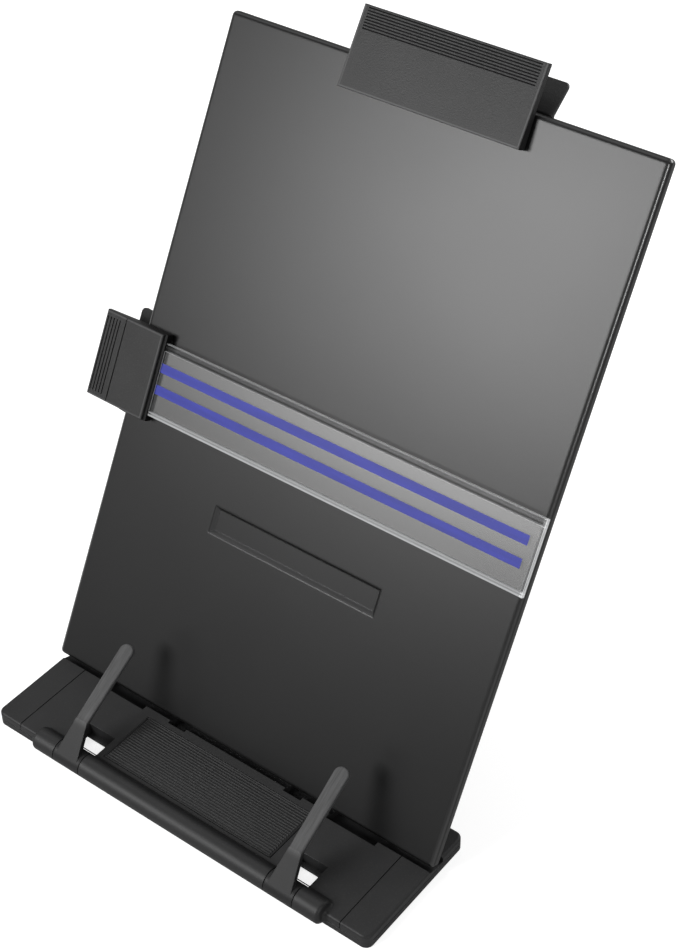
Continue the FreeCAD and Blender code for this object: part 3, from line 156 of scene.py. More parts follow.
class CopyHolderColours(bpy.types.PropertyGroup):
    """Colours of the holder's finishes."""

    board: colour("Board", "Satin enamel on the board", (0.0045, 0.0045, 0.0046))
    leg: colour("Leg", "Enamel on the rear leg and its bracket", (0.012, 0.012, 0.0122))
    base: colour("Base", "Moulded shelf and end caps", (0.0125, 0.0125, 0.0128))
    cover: colour("Cover", "Bottom cover", (0.016, 0.016, 0.0165))
    arm: colour("Arms", "Page arms", (0.0118, 0.0118, 0.012))
    clip: colour("Clips", "Page clip, guide clip and socket", (0.0155, 0.0155, 0.0157))
    rubber: colour("Rubber", "Feet and grip pads", (0.010, 0.010, 0.010))
    pad: colour("Ribbed pad", "Ribbed rubber pad", (0.008, 0.008, 0.0082))
    nylon: colour("Nylon", "Friction bushes and washers", (0.42, 0.41, 0.38))
    steel: colour("Steel", "Rods, pins, rivets and screws", (0.56, 0.56, 0.57))
    acrylic: colour("Line guide", "Frosted panel of the line guide", (0.036, 0.036, 0.0355))
    stripe: colour("Stripes", "Printed stripes", (0.024, 0.030, 0.235))


class CopyHolderSizes(bpy.types.PropertyGroup):
    """Sizes of the small parts that repeat."""

    rib_count: IntProperty(name="Ribs", description="Ribs on the pad", default=20, min=1)
    rib_width: length("Rib width", "Width of one rib", 0.0007)
    rib_height: length("Rib height", "Height of one rib above the pad", 0.00058)
    pad_margin: length("Plain margin", "Plain margin of the pad round its ribs", 0.0014)
    spring_wire: length("Spring wire", "Thickness of the spring wire", 0.001)
    spring_radius: length("Spring radius", "Mean radius of a spring", 0.0023)
    spring_length: length("Coil length", "Length of a spring's coil", 0.008)
    spring_turns: FloatProperty(name="Turns", description="Turns of a spring's coil",
                                default=5.5, min=0.5)
    screw_head: length("Screw head", "Radius of a screw's head", 0.0026)
    rivet_head: length("Rivet head", "Radius of a rivet's head", 0.0018)


class CopyHolderStage(bpy.types.PropertyGroup):
    """Floor and light."""

    floor: colour("Floor", "Colour of the floor", (0.55, 0.55, 0.55))
    key_power: power("Front light", "Power of the soft front light", 23.0)
    top_power: power("Top light", "Power of the large top light", 9.0)
    rear_power: power("Rear light", "Power of the soft rear light", 9.0)
    edge_power: power("Edge light", "Power of the narrow side light", 5.0)
    room: FloatProperty(name="Room", description="Strength of the room's even light",
                        default=0.18, min=0.0)


# ---------------------------------------------------------------- node trees


class Signal:
    """A value that runs through a tree. Arithmetic on it adds Math nodes."""

    def __init__(self, net, socket):
        self.net = net
        self.socket = socket

    def maths(self, operation, first, second=0.0, clamp=False):
        return self.net.node("ShaderNodeMath", {"operation": operation, "use_clamp": clamp},
                             {0: first, 1: second})

    def __add__(self, other):
        return self.maths("ADD", self, other)

    def __sub__(self, other):
        return self.maths("SUBTRACT", self, other)

    def __rsub__(self, other):
        return self.maths("SUBTRACT", other, self)

    def __mul__(self, other):
        return self.maths("MULTIPLY", self, other)

    def __gt__(self, level):
        return self.maths("GREATER_THAN", self, level)

    def __lt__(self, level):
        return self.maths("LESS_THAN", self, level)

    __radd__ = __add__
    __rmul__ = __mul__

    def size(self):
        return self.maths("ABSOLUTE", self)

    def limited(self):
        return self.maths("ADD", self, 0.0, clamp=True)

    def larger(self, other):
        return self.maths("MAXIMUM", self, other)

    def ramp(self, low, high):
        """0 below low and 1 above high, with a smooth rise between them."""
        settings = {"interpolation_type": "SMOOTHSTEP"}
        return self.net.node("ShaderNodeMapRange", settings,
                             {"Value": self, "From Min": low, "From Max": high})

    def part(self, index):
        """x, y or z of a vector."""
        return self.net.node("ShaderNodeSeparateXYZ", {}, {0: self}, output=index)


class Net:
    """A node tree that is emptied and then filled from Python."""

    def __init__(self, tree):
        self.tree = tree
        tree.nodes.clear()

    def node(self, kind, settings, values, output=0):
        """Adds a node. Its settings go in first, then the values or links of its sockets."""
        node = self.tree.nodes.new(kind)
        for name, value in settings.items():
            setattr(node, name, value)
        for key, value in values.items():
            self.feed(node.inputs[key], value)
        return Signal(self, node.outputs[output])

    def feed(self, socket, value):
        if isinstance(value, Signal):
            self.tree.links.new(value.socket, socket)
        else:
            socket.default_value = value

    def end(self, kind, signal):
        """Adds the tree's output node, and links its first socket."""
        self.feed(self.tree.nodes.new(kind).inputs[0], signal)


class Finish(Net):
    """A material: one Principled shader and the nodes that feed it."""

    def __init__(self, name, fixed):
        self.material = bpy.data.materials.new(name)
        self.material.use_nodes = True
        super().__init__(self.material.node_tree)
        self.shader = self.tree.nodes.new("ShaderNodeBsdfPrincipled")
        for socket, value in fixed.items():
            self.shader.inputs[socket].default_value = value
        self.end("ShaderNodeOutputMaterial", Signal(self, self.shader.outputs[0]))

    def drive(self, socket, signal):
        self.feed(self.shader.inputs[socket], signal)

    def place(self, carrier=WORLD):
        """The point on the piece, in the frame of what carries it."""
        point = self.node("ShaderNodeTexCoord", {}, {}, output="Object")
        inverse = carrier.inverted()
        return self.node("ShaderNodeMapping", {},
                         {"Vector": point, "Location": inverse.to_translation(),
                          "Rotation": inverse.to_euler()})

    def facing(self, carrier):
        """The outward direction of the surface, in the frame of what carries the piece."""
        normal = self.node("ShaderNodeTexCoord", {}, {}, output="Normal")
        return self.node("ShaderNodeMapping", {"vector_type": "NORMAL"},
                         {"Vector": normal, "Rotation": carrier.inverted().to_euler()})

    def stretched(self, point, x, y, z):
        return self.node("ShaderNodeVectorMath", {"operation": "MULTIPLY"},
                         {0: point, 1: (x, y, z)})

    def noise(self, point, scale, detail=2.0, roughness=0.5):
        return self.node("ShaderNodeTexNoise", {},
                         {"Vector": point, "Scale": scale, "Detail": detail,
                          "Roughness": roughness})

    def cells(self, point, scale, output="Distance"):
        return self.node("ShaderNodeTexVoronoi", {}, {"Vector": point, "Scale": scale},
                         output=output)

    def mix(self, share, first, second):
        """A colour between two colours."""
        first, second = [value if isinstance(value, Signal) else (*value, 1.0)
                         for value in (first, second)]
        return self.node("ShaderNodeMix", {"data_type": "RGBA"},
                         {0: share, 6: first, 7: second}, output=2)

    def rounded(self, radius):
        """The surface's direction, with sharp edges rounded to a radius."""
        return self.node("ShaderNodeBevel", {"samples": 4}, {"Radius": radius})

    def edges(self, soft):
        """1 along sharp edges and 0 away from them, where rounding turns nothing."""
        gain = 9.0
        flat = self.node("ShaderNodeNewGeometry", {}, {}, output="True Normal")
        along = self.node("ShaderNodeVectorMath", {"operation": "DOT_PRODUCT"},
                          {0: soft, 1: flat}, output="Value")
        return ((1.0 - along) * gain).limited()

    def relief(self, height, depth, soft=None):
        values = {"Height": height, "Distance": depth, "Strength": 1.0}
        if soft is not None:
            values["Normal"] = soft
        self.drive("Normal", self.node("ShaderNodeBump", {}, values))


def tint(shade, factor):
    return tuple(min(1.0, channel * factor) for channel in shade)


def moulded(name, shade, roughness, grain_size, grain_depth, edge=0.0004, edge_wear_and_highlight=2.2,
            gloss=0.32, detail=None):
    """Injection-moulded plastic with a spark-eroded grain, smoother at its edges and paler there,
    partly wear and partly a painted highlight.

    A detail function may add a pale mask of wear and painted highlight with its colour, and a dark
    mask of painted shade.
    """
    finish = Finish(name, {"IOR": 1.5, "Specular IOR Level": gloss})
    point = finish.place()
    soft = finish.rounded(edge)
    edges = finish.edges(soft)
    grain = finish.noise(point, 1.0 / grain_size, detail=3.0, roughness=0.62)
    flow = finish.noise(point, 38.0)
    handled = finish.noise(point, 11.0, detail=1.0)
    base = finish.mix(flow.ramp(0.3, 0.7), tint(shade, 0.9), tint(shade, 1.12))
    base = finish.mix(grain.ramp(0.5, 0.75) * 0.7, base, tint(shade, 2.3))
    # Paler edges: partly wear, partly a painted highlight.
    base = finish.mix(edges * 0.7, base, tint(shade, edge_wear_and_highlight))
    rough = roughness + 0.1 * (grain - 0.5) + 0.08 * (handled - 0.5) - 0.12 * edges
    if detail:
        pale, wear_and_highlight_shade, dark = detail(finish)
        # The detail's pale mask paints wear and highlights, and its dark mask paints shade.
        base = finish.mix(pale, base, wear_and_highlight_shade)
        base = finish.mix(dark, base, GROOVE_SHADE)
        rough = rough + dark * (1.0 - rough)
    finish.drive("Base Color", base)
    finish.drive("Roughness", rough)
    finish.relief(grain, grain_depth, soft)
    return finish.material


def jaw_marks(jaw):
    """Painted shade in the finger grooves of a clip's jaw and a painted highlight line round its
    front, as masks.
    """
    rim, step, under, over = 0.0007, 0.00012, 0.0004, -0.0002

    def detail(finish):
        point = finish.place(jaw.carrier)
        side, out = point.part(0).size(), point.part(1)
        below = jaw.high - jaw.fall * (out + jaw.inner) - point.part(2)
        front = (below < under) * (below > over)
        # A painted highlight line round the jaw's front, and painted shade in its finger grooves.
        line = stroke(side, jaw.half - rim, rim).larger(stroke(out, rim - jaw.inner, rim))
        groove = (below - step).ramp(0.0, step) * (below < GROOVE_DEPTH)
        within = ((side < jaw.half - GROOVES_MARGIN) * (out < GROOVES_END)
                  * (out > GROOVES_START))
        return line * front * 0.55, JAW_EDGE_HIGHLIGHT, groove * within * 0.85

    return detail


def arm_marks(finish):
    """Pale streaks of wear along a page arm's upper stretch, with a painted sheen that lightens
    the whole stretch, as a mask. It has no painted shade.
    """
    crease, above_crease = 0.026, 0.031
    point = finish.place()
    streaks = finish.noise(finish.stretched(point, 1100.0, 70.0, 70.0), 1.0, detail=3.0,
                           roughness=0.65)
    high = point.part(2).ramp(crease, above_crease)
    return (0.15 + 0.9 * streaks) * high, ARM_WEAR_AND_SHEEN, 0.0


def board_marks(finish, point):
    """Painted light on the recess's lower and left walls, which face the light, and the glossier
    roll of the side edges.
    """
    facing = finish.facing(BOARD)
    aside, up = point.part(0).size(), point.part(1)
    inside = (aside < RECESS_HALF) * (up > RECESS_LOW) * (up < RECESS_HIGH)
    walls = inside * facing.part(1).larger(facing.part(0)).ramp(0.4, 0.8)
    roll = aside.ramp(ROLL_START, ROLL_FULL) * (ROLL_END - aside).ramp(0.0, 0.0004)
    return walls, RECESS_WALL_LIGHT, roll


def enamelled(name, shade, carrier, roughness, soft_edge=0.0005, detail=None):
    """Satin enamel baked on sheet steel, with faint orange peel, a few specks of dust and a
    painted highlight along its edges.

    A detail function may add a mask of painted light with its colour and a mask of extra gloss.
    """
    finish = Finish(name, {"IOR": 1.5, "Specular IOR Level": 0.3, "Coat Roughness": 0.22})
    point = finish.place(carrier)
    soft = finish.rounded(soft_edge)
    edges = finish.edges(soft)
    peel = finish.noise(point, 620.0, detail=1.5)
    fine = finish.noise(point, 2600.0)
    cloud = finish.noise(point, 7.0)
    specks = 46.0
    speck = finish.cells(point, specks) < 0.0105
    chosen = finish.cells(point, specks, output="Color").part(0) > 0.8
    base = finish.mix(cloud.ramp(0.3, 0.7), tint(shade, 0.92), tint(shade, 1.1))
    # A painted highlight along the edges.
    base = finish.mix(edges * 0.5, base, tint(shade, 2.2))
    if detail:
        pale, pale_shade, gloss = detail(finish, point)
        base = finish.mix(pale, base, pale_shade)
        finish.drive("Coat Weight", gloss)
    finish.drive("Base Color", finish.mix(speck * chosen * 0.5, base, DUST))
    finish.drive("Roughness", roughness + 0.05 * (cloud - 0.5) + 0.05 * (fine - 0.5))
    finish.relief(peel + 0.35 * fine, 0.000012, soft)
    return finish.material


def rubbery(name, shade, carrier=WORLD, roughness=0.72):
    """Matt rubber with a dry bloom and a fine grain, paler along its edges as a painted highlight.
    """
    finish = Finish(name, {"IOR": 1.52, "Specular IOR Level": 0.35})
    point = finish.place(carrier)
    soft = finish.rounded(0.00025)
    grain = finish.noise(point, 2200.0, detail=3.0, roughness=0.6)
    bloom = finish.noise(point, 60.0, detail=3.0)
    base = finish.mix(bloom.ramp(0.35, 0.75), tint(shade, 0.85), tint(shade, 1.35))
    # A painted highlight along the edges.
    finish.drive("Base Color", finish.mix(finish.edges(soft) * 0.6, base, tint(shade, 2.4)))
    finish.drive("Roughness", roughness + 0.12 * (bloom - 0.5))
    finish.relief(grain, 0.00002, soft)
    return finish.material


def turned_steel(name, shade, carrier, along):
    """Bright drawn steel with fine lines along its length and a trace of oil."""
    finish = Finish(name, {"Metallic": 1.0})
    point = finish.place(carrier)
    across_lines, along_lines = 2400.0, 60.0
    scale = [along_lines if axis == along else across_lines for axis in "xyz"]
    lines = finish.noise(finish.stretched(point, *scale), 1.0)
    oil = finish.noise(point, 150.0, detail=3.0)
    finish.drive("Base Color", finish.mix(oil.ramp(0.45, 0.75), shade, tint(shade, 0.72)))
    finish.drive("Roughness", 0.24 + 0.14 * (lines - 0.5) + 0.16 * oil.ramp(0.4, 0.8))
    finish.relief(lines, 0.000006, finish.rounded(0.0002))
    return finish.material


def natural_nylon(name, shade):
    """Milky nylon with soft flow marks."""
    finish = Finish(name, {"IOR": 1.53, "Subsurface Weight": 0.15, "Subsurface Scale": 0.002})
    point = finish.place()
    flow = finish.noise(point, 240.0, detail=3.0)
    finish.drive("Base Color", finish.mix(flow.ramp(0.3, 0.7), tint(shade, 0.88), shade))
    finish.drive("Roughness", 0.38 + 0.12 * (flow - 0.5))
    finish.relief(flow, 0.00001, finish.rounded(0.0002))
    return finish.material


def stroke(along, place, half):
    """1 on a thin line across a coordinate."""
    return 1.0 - (along - place).size().ramp(half * 0.5, half)


def clear_guide(name, shade):
    """Clear acrylic bar with a finely frosted panel inside its polished rim, and painted
    highlights on its rims and side walls.
    """
    finish = Finish(name, {"IOR": 1.57, "Specular IOR Level": 1.0})
    point = finish.place(GUIDE_CLIP)
    up, out, high = point.part(0), point.part(1), point.part(2)
    fade, rim_fade = 0.0003, 0.0002
    inside = (up.ramp(PANEL_FOOT, PANEL_FOOT + fade) * (PANEL_TOP - up).ramp(0.0, fade)
              * out.ramp(PANEL_END, PANEL_END + fade)
              * (0.5 + 0.5 * (PANEL_START - out).ramp(0.0, 0.0007)))
    frosted = (inside * (high < PANEL_FACE)).limited()
    # The side walls and the bright rim lines are painted highlights: near-white and more opaque.
    walls = 1.0 - finish.facing(GUIDE_CLIP).part(2).size().ramp(0.35, 0.8)
    foot_rim = (RIM_FOOT - up).ramp(0.0, rim_fade)
    end_rim = (RIM_END - out).ramp(0.0, rim_fade)
    shine = foot_rim * (0.7 - 0.6 * stroke(up, *FOOT_LINE)) + 0.35 * end_rim
    for place, half, strength in TOP_LINES:
        shine = shine + strength * stroke(up, place, half)
    shine = (shine + 0.5 * stroke(out, *END_LINE)).limited()
    smear = finish.noise(finish.stretched(point, 90.0, 9.0, 90.0), 1.0, detail=3.0)
    scuff = finish.noise(finish.stretched(point, 2600.0, 240.0, 800.0), 1.0)
    mist = finish.noise(point, 1900.0)
    body = finish.mix(frosted, CLEAR_BODY, shade)
    body = finish.mix(smear.ramp(0.35, 0.75) * frosted * 0.4, body, tint(shade, 0.8))
    finish.drive("Base Color", finish.mix(walls.larger(shine), body, PAINTED_RIM_SHINE))
    veil = 0.58 + 0.10 * (smear - 0.5) + 0.08 * scuff.ramp(0.5, 0.8)
    clear = 0.07 + 0.01 * scuff.ramp(0.6, 0.85)
    alpha = veil * frosted + clear * (1.0 - frosted) + 0.5 * walls + 0.6 * shine
    finish.drive("Alpha", alpha.limited())
    finish.drive("Roughness", 0.18 + 0.12 * frosted + 0.02 * scuff.ramp(0.5, 0.8))
    finish.relief(mist * frosted, 0.000006)
    return finish.material


def printed_film(name, shade):
    """Blue ink on the guide's panel, with streaks of thicker and thinner ink and pale dots."""
    finish = Finish(name, {"IOR": 1.5, "Specular IOR Level": 0.2})
    point = finish.place(GUIDE_CLIP)
    ink = finish.noise(finish.stretched(point, 400.0, 30.0, 400.0), 1.0, detail=3.0)
    dots = finish.noise(point, 1500.0)
    base = finish.mix(ink.ramp(0.3, 0.75), shade, tint(shade, 1.25))
    finish.drive("Base Color", finish.mix(dots.ramp(0.6, 0.85) * 0.4, base, PALE_INK))
    finish.drive("Roughness", 0.38 + 0.1 * (ink - 0.5))
    finish.relief(dots, 0.000006)
    return finish.material


# ---------------------------------------------------------------- geometry trees


class Builder(Net):
    """A Geometry Nodes tree with named inputs, which ends in one realised, finished mesh."""

    SOCKETS = {float: "NodeSocketFloat", int: "NodeSocketInt",
               bpy.types.Object: "NodeSocketObject", bpy.types.Material: "NodeSocketMaterial"}

    def __init__(self, name, inputs):
        super().__init__(bpy.data.node_groups.new(name, "GeometryNodeTree"))
        interface = self.tree.interface
        self.identifiers = {}
        interface.new_socket("Geometry", in_out="INPUT", socket_type="NodeSocketGeometry")
        for label, value in inputs.items():
            kind = next(socket for sort, socket in self.SOCKETS.items()
                        if isinstance(value, sort))
            item = interface.new_socket(label, in_out="INPUT", socket_type=kind)
            self.identifiers[label] = item.identifier
        interface.new_socket("Geometry", in_out="OUTPUT", socket_type="NodeSocketGeometry")
        self.inputs = self.tree.nodes.new("NodeGroupInput")
        self.values = inputs

    def given(self, label):
        return Signal(self, self.inputs.outputs[label])

    def vector(self, x, y, z):
        return self.node("ShaderNodeCombineXYZ", {}, {0: x, 1: y, 2: z})

    def tube(self, curve, radius, resolution=12):
        ring = self.node("GeometryNodeCurvePrimitiveCircle", {},
                         {"Radius": radius, "Resolution": resolution})
        return self.node("GeometryNodeCurveToMesh", {},
                         {"Curve": curve, "Profile Curve": ring, "Fill Caps": True})

    def joined(self, *shapes):
        node = self.tree.nodes.new("GeometryNodeJoinGeometry")
        for shape in shapes:
            self.tree.links.new(shape.socket, node.inputs[0])
        return Signal(self, node.outputs[0])

    def make(self, name, shape, carrier, source=None):
        """Ends the tree, runs it on a mesh and returns the plain piece, in its place."""
        whole = self.node("GeometryNodeRealizeInstances", {}, {"Geometry": shape})
        done = self.node("GeometryNodeSetMaterial", {},
                         {"Geometry": whole, "Material": self.given("Finish")})
        self.end("NodeGroupOutput", done)
        host = source or scene_object(name + ".source", bpy.data.meshes.new(name))
        modifier = host.modifiers.new("Builder", "NODES")
        modifier.node_group = self.tree
        for label, value in self.values.items():
            modifier[self.identifiers[label]] = value
        mesh = evaluated(host)
        bpy.data.objects.remove(host)
        return piece_of(name, mesh, carrier)


def evaluated(host):
    """A mesh of an object as its modifiers leave it."""
    bpy.context.view_layer.update()
    graph = bpy.context.evaluated_depsgraph_get()
    return bpy.data.meshes.new_from_object(host.evaluated_get(graph), depsgraph=graph)


def piece_of(name, mesh, carrier):
    """A finished piece: its object sits at the origin, with its place in its mesh."""
    sharp = math.radians(40.0)
    mesh.name = name
    mesh.transform(carrier)
    mesh.shade_smooth()
    mesh.set_sharp_from_angle(angle=sharp)
    return scene_object(name, mesh)


def mesh_of(name, form):
    mesh = bpy.data.meshes.new(name)
    bmesh.ops.recalc_face_normals(form, faces=form.faces)
    form.to_mesh(mesh)
    form.free()
    return mesh


def turned(profile, steps=32):
    """A shape of revolution about z, from (radius, height) points that begin and end on it."""
    form = bmesh.new()
    chain = [form.verts.new((radius, 0.0, height)) for radius, height in profile]
    lines = [form.edges.new(pair) for pair in zip(chain, chain[1:])]
    bmesh.ops.spin(form, geom=chain + lines, cent=(0, 0, 0), axis=(0, 0, 1),
                   angle=math.tau, steps=steps, use_merge=True)
    bmesh.ops.remove_doubles(form, verts=form.verts, dist=MERGE)
    return form


def slab(form, low, high):
    """Adds a box between two corners."""
    size = Vector(high) - Vector(low)
    middle = (Vector(high) + Vector(low)) / 2
    bmesh.ops.create_cube(form, size=1.0, matrix=Matrix.Translation(middle)
                          @ Matrix.Diagonal((*size, 1.0)))


def scene_object(name, data):
    """An object of a mesh, a light or a camera, put in the scene."""
    item = bpy.data.objects.new(name, data)
    bpy.context.scene.collection.objects.link(item)
    return item


def coat(material, *nodes):
    """Gives CAD nodes their finish."""
    for name in nodes:
        mesh = NODES[name].data
        mesh.materials.clear()
        mesh.materials.append(material)


# ---------------------------------------------------------------- the pieces


class COPYHOLDER_OT_board(bpy.types.Operator):
    """Enamel the board, its leg and their brackets"""

    bl_idname = "copyholder.board"
    bl_label = "Board and Leg"

    def execute(self, context):
        colours = context.scene.copy_holder_colours
        coat(enamelled("board_enamel", colours.board, BOARD, roughness=0.337, soft_edge=0.001,
                       detail=board_marks), "board_panel")
        coat(enamelled("bracket_enamel", colours.leg, BOARD, roughness=0.40), "leg_bracket",
             "left_hinge_bracket", "right_hinge_bracket")
        coat(enamelled("leg_enamel", colours.leg, LEG, roughness=0.40), "rear_leg")
        return {"FINISHED"}


class COPYHOLDER_OT_base(bpy.types.Operator):
    """Mould the shelf, its end caps and the cover below it"""

    bl_idname = "copyholder.base"
    bl_label = "Base"

    def execute(self, context):
        colours = context.scene.copy_holder_colours
        coat(moulded("base_plastic", colours.base, roughness=0.50, grain_size=0.0006,
                     grain_depth=0.00006, gloss=0.3),
             "base_shelf", "left_end_cap", "right_end_cap")
        coat(moulded("cover_plastic", colours.cover, roughness=0.55, grain_size=0.0006,
                     grain_depth=0.00005), "bottom_cover")
        return {"FINISHED"}


class COPYHOLDER_OT_ribbed_pad(bpy.types.Operator):
    """Build the rubber pad with its ribs and its raised border"""

    bl_idname = "copyholder.ribbed_pad"
    bl_label = "Ribbed Pad"

    def execute(self, context):
        colours, sizes = context.scene.copy_holder_colours, context.scene.copy_holder_sizes
        low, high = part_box("ribbed_pad")
        relief, bead, inset, corner, edge = 0.0006, 0.00045, 0.0004, 0.0008, 0.0003
        top = high.z - relief
        long_way, short_way = high.x - low.x, high.y - low.y
        margin, width = sizes.pad_margin, sizes.rib_width
        pitch = (short_way - 2 * margin - width) / (sizes.rib_count - 1)
        finish = rubbery("pad_rubber", colours.pad, roughness=0.58)
        tree = Builder("Ribbed pad", {
            "Ribs": sizes.rib_count, "Rib length": long_way - 2 * margin, "Rib width": width,
            "Rib height": sizes.rib_height, "Pitch": pitch, "Border": bead,
            "Long side": long_way - 2 * inset, "Short side": short_way - 2 * inset,
            "Finish": finish})
        half = tree.given("Rib length") * 0.5
        line = tree.node("GeometryNodeCurvePrimitiveLine", {},
                         {"Start": tree.vector(half * -1.0, 0.0, 0.0),
                          "End": tree.vector(half, 0.0, 0.0)})
        tube = tree.tube(line, 1.0)
        rib = tree.node("GeometryNodeTransform", {}, {
            "Geometry": tube,
            "Scale": tree.vector(1.0, tree.given("Rib width") * 0.5, tree.given("Rib height"))})
        first = tree.given("Pitch") * (tree.given("Ribs") - 1.0) * -0.5
        rows = tree.node("GeometryNodeMeshLine", {}, {
            "Count": tree.given("Ribs"), "Start Location": tree.vector(0.0, first, 0.0),
            "Offset": tree.vector(0.0, tree.given("Pitch"), 0.0)})
        ribs = tree.node("GeometryNodeInstanceOnPoints", {}, {"Points": rows, "Instance": rib})
        outline = tree.node("GeometryNodeCurvePrimitiveQuadrilateral", {},
                            {"Width": tree.given("Long side"), "Height": tree.given("Short side")})
        outline = tree.node("GeometryNodeFilletCurve", {"mode": "POLY"},
                            {"Curve": outline, "Radius": corner, "Count": 6})
        border = tree.tube(outline, tree.given("Border"), 10)
        shape = tree.joined(tree.given("Geometry"), ribs, border)
        form = bmesh.new()
        slab(form, (-long_way / 2, -short_way / 2, low.z - top), (long_way / 2, short_way / 2, 0))
        bmesh.ops.bevel(form, geom=form.edges[:], offset=edge, segments=3, affect="EDGES",
                        profile=0.5)
        mat = scene_object("pad_mat", mesh_of("pad_mat", form))
        middle = Vector(((low.x + high.x) / 2, (low.y + high.y) / 2, top))
        pad = tree.make("ribbed_rubber_pad", shape, Matrix.Translation(middle), mat)
        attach(pad, "base")
        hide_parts("ribbed_pad")
        return {"FINISHED"}


class COPYHOLDER_OT_arms(bpy.types.Operator):
    """Mould the two page arms and their bushes"""

    bl_idname = "copyholder.arms"
    bl_label = "Page Arms"

    def execute(self, context):
        colours = context.scene.copy_holder_colours
        coat(moulded("arm_plastic", colours.arm, roughness=0.48, grain_size=0.0005,
                     grain_depth=0.00005, edge=0.0007, gloss=0.2, detail=arm_marks),
             "left_page_arm", "right_page_arm")
        coat(natural_nylon("bush_nylon", colours.nylon), "left_arm_bush", "right_arm_bush",
             "left_friction_washer", "right_friction_washer")
        return {"FINISHED"}


class COPYHOLDER_OT_clips(bpy.types.Operator):
    """Mould the page clip and the guide's clip"""

    bl_idname = "copyholder.clips"
    bl_label = "Clips"

    def execute(self, context):
        colours = context.scene.copy_holder_colours
        for name, shade, gloss, jaw, nodes in (
                ("clip_plastic", colours.clip, 0.32, PAGE_JAW, ("clip_jaw", "clip_back")),
                ("guide_plastic", tint(colours.clip, 0.84), 0.25, GUIDE_JAW,
                 ("guide_jaw", "guide_back"))):
            coat(moulded(name, shade, roughness=0.47, grain_size=0.0007, grain_depth=0.00012,
                         edge_wear_and_highlight=3.0, gloss=gloss, detail=jaw_marks(jaw)), *nodes)
        coat(moulded("socket_plastic", tint(colours.clip, 0.3), roughness=0.42,
                     grain_size=0.0004, grain_depth=0.00002, gloss=0.1), "ruler_socket")
        coat(rubbery("grip_rubber", colours.rubber), "clip_grip_pad", "guide_grip_pad")
        return {"FINISHED"}


class COPYHOLDER_OT_line_guide(bpy.types.Operator):
    """Make the clear line guide and its two stripes"""

    bl_idname = "copyholder.line_guide"
    bl_label = "Line Guide"

    def execute(self, context):
        colours = context.scene.copy_holder_colours
        coat(clear_guide("clear_acrylic", colours.acrylic), "line_guide")
        coat(printed_film("stripe_blue", colours.stripe), "guide_stripes")
        return {"FINISHED"}


class COPYHOLDER_OT_springs(bpy.types.Operator):
    """Wind the torsion springs of the two clips"""

    bl_idname = "copyholder.springs"
    bl_label = "Springs"

    def execute(self, context):
        for spring in SPRINGS:
            self.wind(context.scene, *spring)
        return {"FINISHED"}

    def wind(self, scene, node, body, carrier, fall):
        sizes = scene.copy_holder_sizes
        finish = turned_steel(node + "_wire", scene.copy_holder_colours.steel, carrier, "x")
        tree = Builder("Torsion spring", {
            "Wire": sizes.spring_wire / 2, "Radius": sizes.spring_radius,
            "Turns": sizes.spring_turns, "Length": sizes.spring_length,
            "Reach": SPRING_REACH, "Fall": fall, "Rise": LEVER_SLOPE, "Finish": finish})
        radius, half = tree.given("Radius"), tree.given("Length") * 0.5
        reach = tree.given("Reach")
        coil = tree.node("GeometryNodeCurveSpiral", {}, {
            "Resolution": 32, "Rotations": tree.given("Turns"), "Start Radius": radius,
            "End Radius": radius, "Height": tree.given("Length"), "Reverse": True})
        coil = tree.node("GeometryNodeTransform", {}, {
            "Geometry": coil, "Rotation": (0.0, math.pi / 2, 0.0),
            "Translation": tree.vector(half * -1.0, 0.0, 0.0)})
        legs = []
        for x, height, slope in ((half * -1.0, radius * -1.0, tree.given("Fall")),
                                 (half, radius, tree.given("Rise"))):
            legs.append(tree.node("GeometryNodeCurvePrimitiveLine", {}, {
                "Start": tree.vector(x, 0.0, height),
                "End": tree.vector(x, reach, height + reach * slope)}))
        wires = [tree.tube(curve, tree.given("Wire")) for curve in (coil, *legs)]
        spring = tree.make(node + "_coil", tree.joined(*wires), carrier @ SPRING_SEAT)
        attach(spring, body)
        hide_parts(node)


